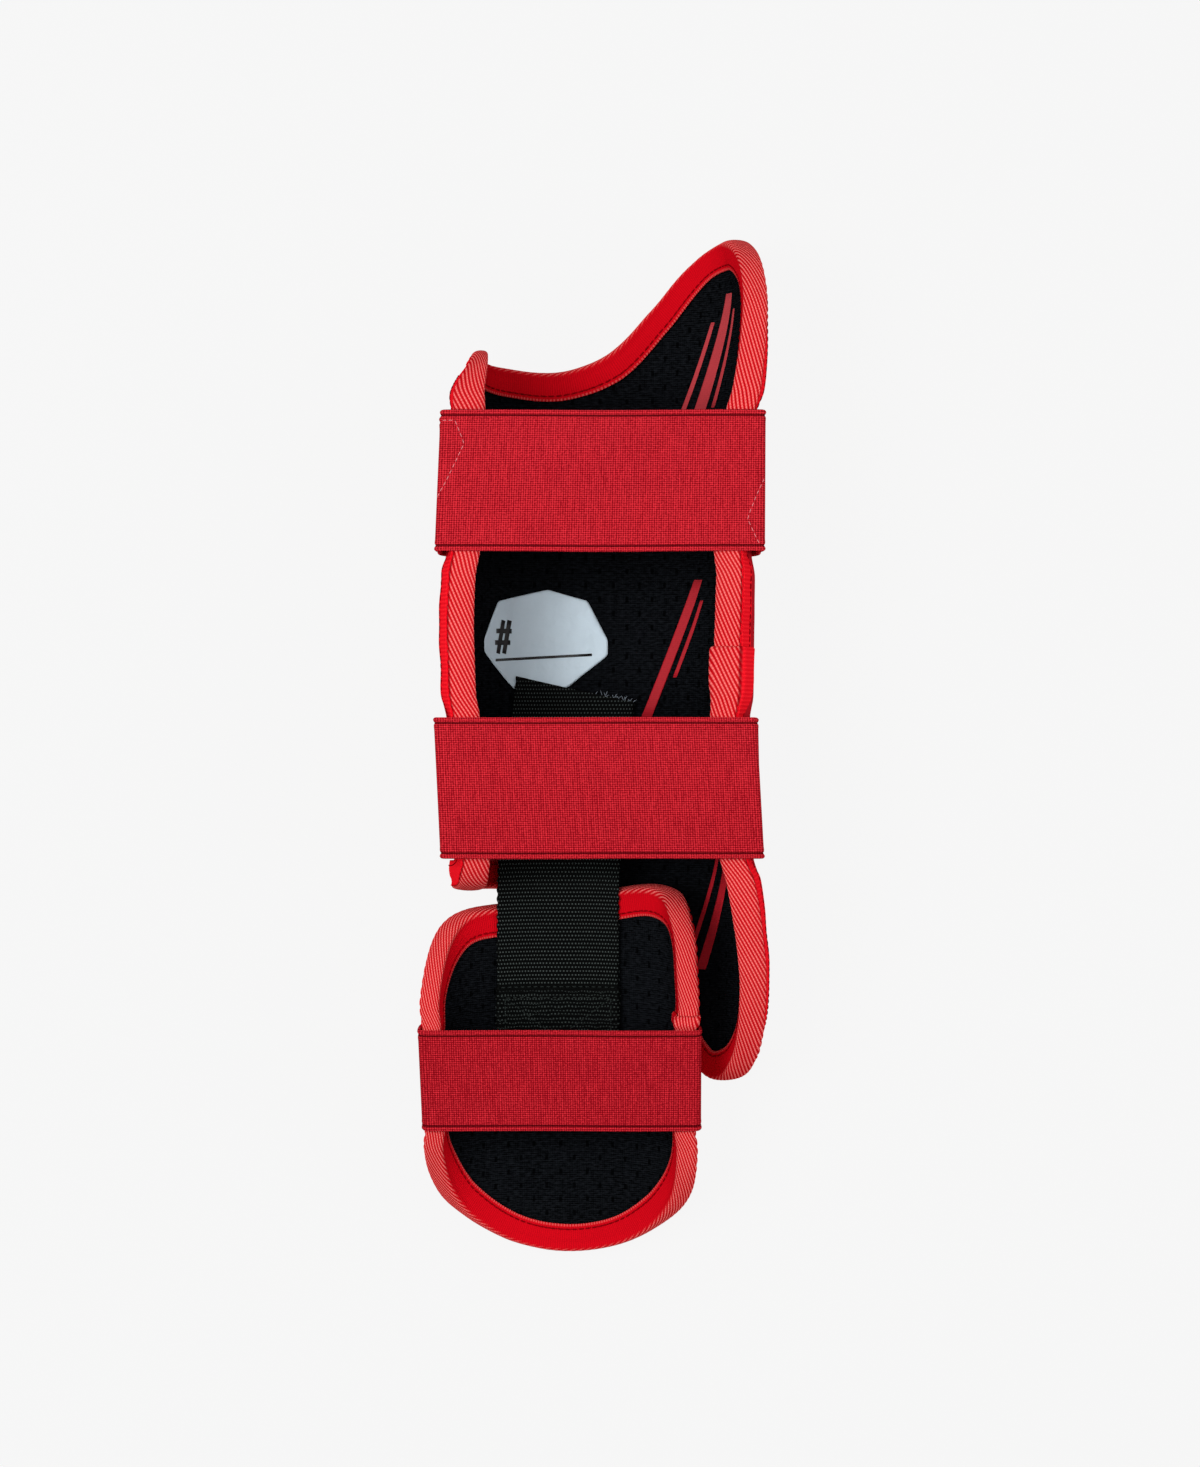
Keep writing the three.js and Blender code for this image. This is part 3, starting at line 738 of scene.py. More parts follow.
@cached
def tape_cloth():
    """Edge tape: fine ribs on its flanges, and twill cords with small beads over the fold.

    The pattern's first coordinate runs along the tape, the second across it from the inner flange.
    """
    m = Maker("tape_cloth")
    t, w = m.pattern()
    tape, ground, cord = (tuple(getattr(settings("colours"), name)) for name in ("tape", "fold", "cord"))
    start, stop = (edge / MM for edge in twill_span())
    place_y, place_z = (m.node("ShaderNodeSeparateXYZ", None, [m.place()], k) for k in (1, 2))
    stop = stop - place_y.step(*INSET_RISE) * (1 - place_y.step(*INSET_FALL)) * (TWILL_INSET / MM)
    start = start + (1 - place_z.step(*RIM_RISE)) * (LATE_START / MM)
    on_fold = (w - start).step(-1.2, 0.6) * (1 - (w - stop).step(-1.0, 0.8))
    cords = (w + t * TWILL_SLOPE).wave(TWILL_PITCH / MM)
    beads = (t * 0.86 - w * 0.5).wave(1.15)
    twill = cords.step(0.3, 0.88) * (0.55 + beads * 0.45)
    ribs_in = t.wave(0.9) * (0.7 + w.wave(0.8) * 0.3)
    ribs_out = t.wave(1.5)
    outer = (w - stop).step(-0.4, 0.8)
    # Painted light: the outer flange, which faces the side, is drawn in a lighter copy of the tape red, while
    # the ribs of the inner flange range down to a darker red.
    painted_light_tape = tuple(c * 1.35 + 0.008 for c in tape)
    ribs = ribs_in * (1 - outer) + ribs_out * outer
    patch = m.cloud(m.place(), 45.0, 3.0)
    dark = tuple(c * 0.66 for c in tape)
    flange = m.blend(ribs * 0.65 + patch * 0.35, m.blend(outer, dark, tape), m.blend(outer, tape, painted_light_tape))
    border = (1 - w.step(0.5, 1.1)) * t.wave(1.3)
    flange = m.blend(border * 0.4, flange, cord)
    # Painted highlight: the crests of the cords are pale pink, and the ground between them is a darker red as
    # painted shade.
    fold = m.blend(twill * 0.9 + patch * 0.1 - 0.05, ground, cord)
    base = m.blend(on_fold, flange, fold)
    # Painted shade: a dark line in the crease where the twill meets the outer flange.
    crease = (1 - (w - stop).size().step(0.1, 0.75)) * (0.45 + m.cloud(m.vector(t, w), 0.6) * 0.6)
    base = m.blend(crease, base, tuple(c * 0.22 for c in tape))
    sewn = (1 - (w - 2.0).size().step(0.15, 0.5)) * t.fraction(3.0).size().step(0.1, 0.2)
    base = m.blend(sewn * 0.7, base, tuple(c * 0.2 for c in tape))
    height = twill * on_fold * 1.6 + ribs * (1 - on_fold)
    normal = m.bump(height, 0.00014, 0.9)
    return m.finish(Base_Color=base, Roughness=0.6 - twill * 0.15, Normal=normal, Specular_IOR_Level=0.0)


# Between these places along Y, in metres, the elastic passes to a darker red towards the foot band: painted
# shade.
FOOT_SHADE_SPAN = (-0.13, 0.06)


@cached
def elastic_cloth():
    """Woven elastic: fine lengthwise lines crossed by ribs, with a firmer edge on both sides.

    The pattern's first coordinate runs along the band, the second is the distance from its border. That
    distance turns back at the band's middle, so the lines across the band follow Object Y instead.
    """
    m = Maker("elastic_cloth")
    along, border = m.pattern()
    dark, light = tuple(settings("colours").elastic), tuple(settings("colours").elastic_light)
    place_y = m.node("ShaderNodeSeparateXYZ", None, [m.place()], 1)
    across = place_y / MM
    wander = m.cloud(m.vector(along * 0.5, across * 0.1), 1.0, 2.0) - 0.5
    ribs = (along + wander * 0.3).wave(0.86)
    lines = (across + wander * 0.15).wave(0.8)
    streak = m.cloud(m.vector(along * 1.1, across * 0.1), 1.0, 4.0, 0.7).step(0.3, 0.7)
    fleck = m.cloud(m.vector(along * 1.2, across * 1.5), 1.0, 3.0, 0.7).step(0.3, 0.7)
    # Painted shade: the elastic is drawn darker towards the foot.
    foot_shade = 1 - place_y.step(*FOOT_SHADE_SPAN)
    body = border.step(2.3, 3.2)
    weave = ribs * 0.4 + lines * 0.42 + fleck * 0.38
    # Painted shade: the groove beside each border cord is drawn as a dark line.
    groove = 1 - (border - 2.1).size().step(0.15, 0.6)
    patch = m.cloud(m.place(), 30.0, 3.0)
    tint = weave * 1.9 + streak * 0.4 * body + (1 - body) * 0.3 + patch * 0.15 - 1.02 - foot_shade * 0.2
    base = m.blend(tint, dark, light)
    base = m.blend(groove * 0.85, base, tuple(c * 0.2 for c in dark))
    normal = m.bump(weave + streak * 0.3, 0.0002, 0.9, m.bump(patch, 0.0008, 0.2))
    return m.finish(Base_Color=base, Roughness=0.72 - patch * 0.1, Normal=normal, Specular_IOR_Level=0.0)


@cached
def hook_cloth():
    """Hook tape: short upright hooks in close rows."""
    m = Maker("hook_cloth")
    s, y = m.pattern()
    tone = tuple(c * 0.7 for c in settings("colours").cover)
    hooks = s.wave(1.1) * y.wave(1.1)
    fuzz = m.cloud(m.vector(s, y), 2.0, 4.0, 0.7)
    base = m.blend(hooks * 0.7 + fuzz * 0.3, tuple(c * 0.5 for c in tone), tone)
    return m.finish(Base_Color=base, Roughness=0.85, Normal=m.bump(hooks + fuzz * 0.5, 0.0003, 0.9),
                    Specular_IOR_Level=0.0)


# How far the ribs of the webbing wander below its seam, in mm.
CROOKED = 2.4


@cached
def webbing_cloth():
    """Black webbing: ribs across it, each a row of dots where the yarns cross, crooked below the seam."""
    m = Maker("webbing_cloth")
    across, y = m.pattern()
    tone = tuple(settings("colours").webbing)
    pitch = settings("webbing").rib / MM
    seam = settings("webbing").seam_y / MM
    crooked = (1 - y.step(seam - 2, seam + 2)) * CROOKED
    ribs = (y + (m.cloud(m.vector(across * 0.5, y), 0.35, 2.0) - 0.5) * crooked).wave(pitch)
    dots = (across + (y / pitch).maths("FLOOR").maths("PINGPONG", 1.0) * 0.65).wave(1.3)
    below = 1 - y.step(seam - 1.5, seam + 0.5)
    weave = ribs.step(0.48, 1.0) * dots.step(0.32, 1.0)
    fleck = m.cloud(m.vector(across, y), 0.5, 3.0, 0.6)
    light = tuple(settings("colours").webbing_light)
    # Painted shade: a dark line along the seam, where the doubled part starts.
    groove = (1 - (y - seam + 0.2).size().step(0.8, 1.7)) * 0.95
    base = m.blend(weave * (0.35 + fleck * 0.9) * (1 - below * 0.35) * (1 - groove), tone, light)
    return m.finish(Base_Color=base, Roughness=0.6, Normal=m.bump(weave + fleck * 0.2, 0.00022, 0.9),
                    Specular_IOR_Level=0.02)


@cached
def label_film():
    """Satin film with the weave of the lining faintly pressed through."""
    m = Maker("label_film")
    s, y = m.pattern()
    tone = tuple(settings("colours").label)
    grain = m.cloud(m.vector(s, y), 2.4, 3.0, 0.6)
    lumps = m.cloud(m.vector(s, y), 0.16, 2.0)
    base = m.blend(grain * 0.5 + lumps * 0.5, tuple(c * 0.88 for c in tone), tone)
    normal = m.bump(grain, 0.00004, 0.6, m.bump(lumps, 0.0014, 0.7))
    return m.finish(Base_Color=base, Roughness=0.45 + grain * 0.08, Normal=normal, Specular_IOR_Level=0.2)


@cached
def label_ink():
    """Black ink, a little uneven."""
    m = Maker("label_ink")
    s, y = m.pattern()
    grain = m.cloud(m.vector(s, y), 2.0, 2.0)
    ink = tuple(settings("colours").ink)
    return m.finish(Base_Color=m.blend(grain, ink, tuple(c * 1.6 for c in ink)), Roughness=0.5)


@cached
def print_film():
    """Glossy red film pressed on the knit, whose rows show through."""
    m = Maker("print_film")
    s, y = m.pattern()
    tone = tuple(settings("colours").print)
    rows = y.wave(0.82)
    wear = m.cloud(m.vector(s, y), 0.7, 4.0, 0.65)
    # Painted sheen: the film is drawn lighter and pinker towards the top.
    ramp = (y - 60).step(-60, 110)
    worn = m.blend(wear * 0.7 + rows * 0.2, tuple(c * 0.6 for c in tone), tone)
    base = m.blend(ramp * 0.25, worn, tuple(c * 0.6 + 0.12 for c in tone))
    return m.finish(Base_Color=base, Roughness=0.5 + wear * 0.12, Normal=m.bump(rows + wear, 0.00006, 0.6),
                    Specular_IOR_Level=0.1)


def thread(name, tone, dark=0.7):
    """Twisted sewing thread."""
    known = bpy.data.materials.get(DRESSED + name)
    if known:
        return known
    m = Maker(name)
    t, turn = m.pattern()
    twist = (t + turn * 2.0).wave(0.5)
    base = m.blend(twist, tuple(c * dark for c in tone), tone)
    normal = m.bump(twist, 0.00005, 0.6)
    return m.finish(Base_Color=base, Roughness=0.55, Normal=normal, Specular_IOR_Level=0.0)


# Covers and linings


def plate_rise(panel, s, y):
    """The raised front plate: full height inside its margin, fading towards the edge and the sides."""
    wall = settings("wall")
    inside = ease(panel.edge_distance(s, y), wall.plate_margin, wall.plate_margin + wall.plate_slope)
    reach = 1 - ease(np.abs(s), panel.plate_reach - wall.plate_slope, max(panel.plate_reach, MM))
    return wall.plate_rise * inside * reach if panel.plate_reach else np.zeros_like(s)


def between_bands(y):
    """0 under the two shin bands and 1 clear of them."""
    band = settings("band")
    free = 1.0
    for centre in (band.upper_y, band.middle_y):
        free = free * ease(np.abs(y - centre), band.wide / 2 - MM, band.wide / 2 + 7 * MM)
    return free


def side_swell(panel, s, y, inside):
    """How far the cover stands out beside the tape, where no band presses it.

    inside is the distance from the edge: the swell grows up to 11 mm and sinks again from 14 to 34 mm.
    """
    ridge = ease(inside, 0, 11 * MM) * (1 - 0.7 * ease(inside, 14 * MM, 34 * MM))
    wavy = 1 + 0.45 * noise(s * 0, y, 31, 0.03)
    return panel.swell * wavy * ridge * between_bands(y) * ease(np.abs(s), 50 * MM, 75 * MM)


class GUARD_OT_covers(bpy.types.Operator):
    """Make the cloth covers of the two panels"""

    bl_idname = "guard.covers"
    bl_label = "Covers"

    def execute(self, context):
        wall = settings("wall")
        for name, make in PANELS.items():
            panel = make()
            s, y = panel.flat_grid(150, 145 if name == "shin" else 90)
            inside = panel.edge_distance(s, y)
            # Low creases in the cloth, which fade out towards the tape and the front line.
            crease = 0.2 * MM * noise(s, y, 7, 0.022) * ease(inside, 6 * MM, 14 * MM) - 0.15 * MM
            out = plate_rise(panel, s, y) + side_swell(panel, s, y, inside)
            outer = panel.at(s, y, wall_half() + out + crease * ease(np.abs(s), 25 * MM, 60 * MM))
            inner = panel.at(s, y, wall_half() - wall.cover + 0 * s)
            piece = slab(name + "_cover_cloth", outer, inner, np.stack([s, y], -1), cover_cloth())
            dress(piece, "cover_cloth", name + "_cover")
        return {"FINISHED"}


# How far the foam swells: the label and the webbing lie on it.
FOAM_RISE = 0.55 * MM
# Steps of the cloth simulation.
CLOTH_STEPS = 20


def foam_bulge(panel, s, y):
    """The foam swells inside the tape's flange and is pressed down under it."""
    wall = settings("wall")
    away = panel.edge_distance(s, y) - wall.flange
    swell = ease(away, -1.5 * MM, 9 * MM)
    return FOAM_RISE * swell + 0.15 * MM * noise(s, y, 3, 0.045) * swell


def settle_cloth(name, points, held, push):
    """Lets a sheet of cloth swell under pressure while its border is held, and gives the new points."""
    rows, columns = points.shape[:2]
    flat = np.zeros((rows * columns, 2))
    piece = make_piece(name, points.reshape(-1, 3), grid_faces(rows, columns), flat, None)
    group = piece.vertex_groups.new(name="held")
    for weight in (1.0, 0.5):
        chosen = np.flatnonzero(held.ravel() >= weight)
        group.add(chosen.tolist(), weight, "REPLACE" if weight == 1.0 else "ADD")
    cloth = piece.modifiers.new("foam", "CLOTH").settings
    cloth.quality = 4
    cloth.mass = 0.15
    cloth.vertex_group_mass = "held"
    cloth.tension_stiffness = cloth.compression_stiffness = 12
    cloth.bending_stiffness = 0.4
    cloth.shrink_min = -0.025
    cloth.use_pressure = True
    cloth.uniform_pressure_force = push
    cloth.effector_weights.gravity = 0
    scene = bpy.context.scene
    for step in range(1, CLOTH_STEPS + 1):
        scene.frame_set(step)
    graph = bpy.context.evaluated_depsgraph_get()
    settled = piece.evaluated_get(graph).to_mesh()
    moved = np.empty(rows * columns * 3, np.float32)
    settled.vertices.foreach_get("co", moved)
    scene.frame_set(1)
    bpy.data.objects.remove(piece)
    return moved.reshape(rows, columns, 3).astype(float)


class GUARD_OT_linings(bpy.types.Operator):
    """Make the padded linings, swollen by a cloth simulation"""

    bl_idname = "guard.linings"
    bl_label = "Linings"

    # The largest move of a point in the simulation, and the pressure from inside the foam.
    cap = 0.25 * MM
    push = 3.0

    def execute(self, context):
        wall = settings("wall")
        for name, make in PANELS.items():
            panel = make()
            s, y = panel.flat_grid(120, 150 if name == "shin" else 100)
            swell = foam_bulge(panel, s, y)
            # The sheet starts a little low with half of the swell, and another part is added afterwards.
            face = panel.at(s, y, -(wall_half() - 0.2 * MM + swell * 0.5))
            held = 1 - ease(panel.edge_distance(s, y), wall.flange - 3 * MM, wall.flange + 1 * MM)
            face = self.settle(name, face, held)
            lift = panel.at(s, y, -(wall_half() + 0 * s)) - panel.at(s, y, -(wall_half() - swell * 0.35))
            face = face + lift
            back = panel.at(s, y, wall_half() - wall.cover - wall.gap + 0 * s)
            piece = slab(name + "_lining_pad", back, face, np.stack([s, y], -1), lining_cloth())
            dress(piece, "lining_cloth", name + "_lining")
        return {"FINISHED"}

    def settle(self, name, face, held):
        """Keeps each point's move under the cap."""
        move = settle_cloth(name + "_sheet", face, held, self.push) - face
        size = np.linalg.norm(move, axis=-1, keepdims=True)
        return face + move * np.minimum(1, self.cap / np.maximum(size, 1e-9))


# Edge tape

# The twill's spacing across the tape, its slant, and how far its cords stand out.
TWILL_PITCH = 1.6 * MM
TWILL_SLOPE = 0.5
TWILL_RISE = 0.16 * MM
# How far the outer flange's cloth reaches up over the fold, and along which places on Y, in metres.
TWILL_INSET = 2.2 * MM
INSET_RISE = (-0.062, -0.045)
INSET_FALL = (0.095, 0.112)
# How much later the twill starts on the top and foot edges, and the heights on Z where that ends.
LATE_START = 1.4 * MM
RIM_RISE = (0.028, 0.042)
# Points of the outer line on each flange and over the fold, those of the inner line, and the spacing of
# the sections.
FLANGE_MARKS = 9
FOLD_MARKS = 38
BACK_MARKS = 18
TAPE_STEP = 0.8 * MM


def tape_profile():
    """The tape's outer line, from the inner flange over the fold to the outer flange.

    The fold is a flattened half oval: depth cos(a)^0.55 and offset sin(a) for a from -90 to 90 degrees.
    """
    wall = settings("wall")
    face = tape_face()
    turn = np.linspace(-np.pi / 2, np.pi / 2, FOLD_MARKS)
    inwards = -wall.fold * np.cos(turn) ** 0.55
    offset = face * np.sin(turn)
    flange = np.linspace(wall.flange, 0, FLANGE_MARKS, endpoint=False)
    dip = 0.35 * MM * np.exp(-((flange - 1.6 * MM) / (0.9 * MM)) ** 2)
    inwards = np.concatenate([flange, inwards, flange[::-1]])
    offset = np.concatenate([-face + dip, offset, (face - dip)[::-1]])
    return inwards, offset


def tape_run():
    """Distance along the tape's outer line from its inner border."""
    inwards, offset = tape_profile()
    return np.concatenate([[0], np.cumsum(np.hypot(np.diff(inwards), np.diff(offset)))])


def twill_span():
    """Where the twill starts and stops across the tape."""
    flange = settings("wall").flange
    return flange, tape_run()[-1] - flange


def profile_normals():
    """Outward normals of the tape's outer line: its tangent turned by a quarter."""
    inwards, offset = tape_profile()
    width = tape_run()
    slope_in, slope_out = np.gradient(inwards, width), np.gradient(offset, width)
    size = np.hypot(slope_in, slope_out)
    return -slope_out / size, slope_in / size


def edge_frame(panel, start_y, lap):
    """The edge from a place on the right rim once round and on by the lap.

    Gives the points, their inward directions, their distances from the start, and the length once round.
    """
    loop, around = along_line(panel.loop, 4000)
    loop = loop[:-1]
    first = np.argmin(np.hypot(loop[:, 0] - panel.girth(start_y, False), loop[:, 1] - start_y))
    loop = np.roll(loop, -first, axis=0)
    run = np.linspace(0, around + lap, int((around + lap) / TAPE_STEP))
    where = np.arange(len(loop) + 1) * around / len(loop)
    ring = np.concatenate([loop, loop[:1]])
    at = run % around
    points = np.stack([np.interp(at, where, ring[:, k]) for k in (0, 1)], 1)
    reach = 2.5 * MM
    ahead = np.stack([np.interp((at + reach) % around, where, ring[:, k]) for k in (0, 1)], 1)
    behind = np.stack([np.interp((at - reach) % around, where, ring[:, k]) for k in (0, 1)], 1)
    inward = np.stack([behind[:, 1] - ahead[:, 1], ahead[:, 0] - behind[:, 0]], 1)
    inward /= np.linalg.norm(inward, axis=1, keepdims=True)
    return points, inward, run, around


class GUARD_OT_tapes(bpy.types.Operator):
    """Fold the edge tape round both panels"""

    bl_idname = "guard.tapes"
    bl_label = "Edge tape"

    # Where each tape starts on the right rim, how far it laps itself and how long it rises before that.
    joints = {"shin": (18 * MM, 14 * MM, 12 * MM), "foot": (90.2 * MM, 5.6 * MM, 0.0)}

    def execute(self, context):
        for name, make in PANELS.items():
            panel = make()
            self.tape(name, panel, *self.joints[name])
            self.seam(name, panel)
        return {"FINISHED"}

    def tape(self, name, panel, joint, overlap, lead):
        """Carries the tape's profile round the edge: corded fold, puckered flanges and a lap on its start."""
        wall = settings("wall")
        points, inward, run, around = edge_frame(panel, joint, overlap)
        inwards, offset = tape_profile()
        width = tape_run()
        normal_in, normal_out = profile_normals()
        t, w = run[:, None], width[None, :]
        # How much of the fold's twill there is, its cords, the rise of the lap, the sunk free end and the
        # pucker of the flanges.
        start, stop = twill_span()
        fold = ease(w, start - 1.2 * MM, start + 0.8 * MM) * (1 - ease(w, stop - MM, stop + 0.6 * MM))
        cords = 0.5 + 0.5 * np.sin(TAU * (w + t * TWILL_SLOPE) / TWILL_PITCH)
        lap = ease(t, around - lead, around + 2.2 * MM)
        end = ease(t, around + overlap - 0.7 * MM, around + overlap)
        pucker = noise(t, w * 0.4, 11, 0.019) * (0.25 + 0.5 * ease(w, stop - 2 * MM, stop + 3 * MM))
        height = TWILL_RISE * cords**1.5 * fold + 0.35 * MM * pucker - 0.8 * MM * end
        height = height + lap * (wall.tape + 0.9 * MM)
        back = np.linspace(0, len(width) - 1, BACK_MARKS).astype(int)[::-1]
        marks = np.concatenate([np.arange(len(width)), back])
        # Each section is the outer line, and the inner line back to its start.
        depth = np.concatenate([height, height[:, back] - wall.tape], 1)
        d = inwards[marks] + depth * normal_in[marks]
        n = offset[marks] + depth * normal_out[marks]
        flat = points[:, None] + inward[:, None] * d[..., None]
        swell = side_swell(panel, flat[..., 0], flat[..., 1], d) * (n > 0)
        sections = panel.at(flat[..., 0], flat[..., 1], n + swell)
        across = np.concatenate([width, width[back]])
        pattern = np.stack(np.broadcast_arrays(run[:, None], across[None]), -1)
        piece = sweep(name + "_edge_tape", sections, pattern, tape_cloth())
        dress(piece, "edge_tape", name + "_binding")

    def seam(self, name, panel):
        """The seam near each border of the tape, and the crooked one where the twill stops."""
        points, inward, run = edge_frame(panel, 0.0, 0.0)[:3]
        width, stop = tape_run(), twill_span()[1]
        tone = settings("colours").tape
        # Name, place across the tape, wander, thread, its share of the tape's colour, stitch and radius.
        seams = (
            ("tape_seam", 1.9 * MM, 0.0, "dark_thread", 0.35, 2.3 * MM, 0.2 * MM),
            ("back_seam", width[-1] - 1.9 * MM, 0.0, "dark_thread", 0.35, 2.3 * MM, 0.2 * MM),
            ("rope_seam", stop + 0.3 * MM, 0.55 * MM, "rope_thread", 1.3, 3.6 * MM, 0.28 * MM),
        )
        inset = ease(points[:, 1], *INSET_RISE) * (1 - ease(points[:, 1], *INSET_FALL)) * (name == "shin")
        for label, across, wander, thread_name, share_of_tone, stitch, radius in seams:
            w = across + wander * noise(run, 0 * run, 17, 0.014) - (wander > 0) * inset * TWILL_INSET
            place = self.on_tape(panel, points, inward, w, 0.1 * MM)
            up = self.on_tape(panel, points, inward, w, 1.1 * MM) - place
            yarn = thread(thread_name, tuple(min(1, c * share_of_tone) for c in tone))
            piece = stitch_run(f"{name}_{label}", [(place, up)], yarn, stitch, 0.5 * MM, radius)
            dress(piece, "edge_tape")

    def on_tape(self, panel, points, inward, w, lift):
        """Points over the tape at a distance w across it."""
        width = tape_run()
        table = [*tape_profile(), *profile_normals()]
        d, n, normal_in, normal_out = (np.interp(w, width, column) for column in table)
        flat = points + inward * (d + lift * normal_in)[:, None]
        swell = side_swell(panel, flat[:, 0], flat[:, 1], d) * (n > 0)
        return panel.at(flat[:, 0], flat[:, 1], n + lift * normal_out + swell)


# Elastic bands


# Ends of the bands on top, in mm from the panel's front line: left and right, each at the lower and the
# upper border.
BAND_ENDS = {
    "upper": ((-60.2, -58.0), (59.9, 60.2)),
    "middle": ((-58.0, -60.6), (59.8, 56.9)),
    "lower": ((-50.9, -52.5), (52.3, 52.3)),
}
# Points of a band's line up each side, round each bend and across.
SIDE_STEPS, BEND_STEPS, ACROSS_STEPS = 70, 14, 60


def band_line(name, panel, y):
    """Mid line of a band at each y: up one side, over both rims and down the other.

    Sides keep one offset from the wall at two places across the band and are straight through them.
    In its upper part a side leans to the band's end. Each bend is the curve (1-t)^2 a + 2t(1-t) b + t^2 c.
    """
    band, wall = settings("band"), settings("wall")
    offset = tape_face() + band.gap + band.wall / 2
    top = panel.rim + wall.fold + band.gap + band.wall / 2
    centre, reach = (y[0] + y[-1]) / 2, (y[-1] - y[0]) / 4
    share_up = ((y - y[0]) / (y[-1] - y[0]))[:, None]
    y = y[:, None]

    def half(sign):
        ends = []
        for place in (centre - reach, centre + reach):
            girth = panel.girth(np.array([[place]]), np.array([[sign < 0]]))
            s = sign * girth * mix(band.end_share, 1, np.linspace(0, 1, SIDE_STEPS)[None])
            ends.append(panel.local(s, place, offset))
        side = mix(ends[0], ends[1], ((y - centre + reach) / (2 * reach))[..., None])
        low_end, high_end = BAND_ENDS[name][0 if sign < 0 else 1]
        end = mix(low_end, high_end, share_up) * MM
        lean = ease(side[..., 2], 0.45 * top, top - band.bend)
        side[..., 0] = mix(side[..., 0], end, lean)
        side[..., 2] = np.minimum(side[..., 2], top - band.bend * mix(1, 0.9, lean))
        last = side[:, -1:]
        corner = np.concatenate([end[..., None], last[..., 1:2], 0 * y[..., None] + top], -1)
        over = corner - np.array([sign * band.bend, 0, 0])
        t = np.linspace(0, 1, BEND_STEPS)[None, 1:, None]
        bend = last * (1 - t) ** 2 + corner * 2 * t * (1 - t) + over * t**2
        return np.concatenate([side, bend], 1)

    left, right = half(-1), half(1)
    t = np.linspace(0, 1, ACROSS_STEPS)[None, 1:-1, None]
    middle = mix(left[:, -1:], right[:, -1:], t)
    return np.concatenate([left, middle, right[:, ::-1]], 1)


def band_normals(line):
    """Outward normals: the tangent turned by a quarter in the XZ plane."""
    tangent = np.gradient(line, axis=1)
    out = np.stack([-tangent[..., 2], 0 * tangent[..., 0], tangent[..., 0]], -1)
    return out / np.linalg.norm(out, axis=-1, keepdims=True)


def pad_band_y():
    """Middle of the lower band along the tipped pad."""
    pad = settings("pad")
    rise = pad.rim * np.sin(pad.tilt)
    return (settings("band").lower_y - pad.end_y + rise) / np.cos(pad.tilt)


def band_places():
    """Each band's name and panel, its middle along the panel, and its width."""
    band = settings("band")
    return [
        ("upper", "shin", band.upper_y, band.wide), ("middle", "shin", band.middle_y, band.wide),
        ("lower", "foot", pad_band_y(), band.narrow),
    ]


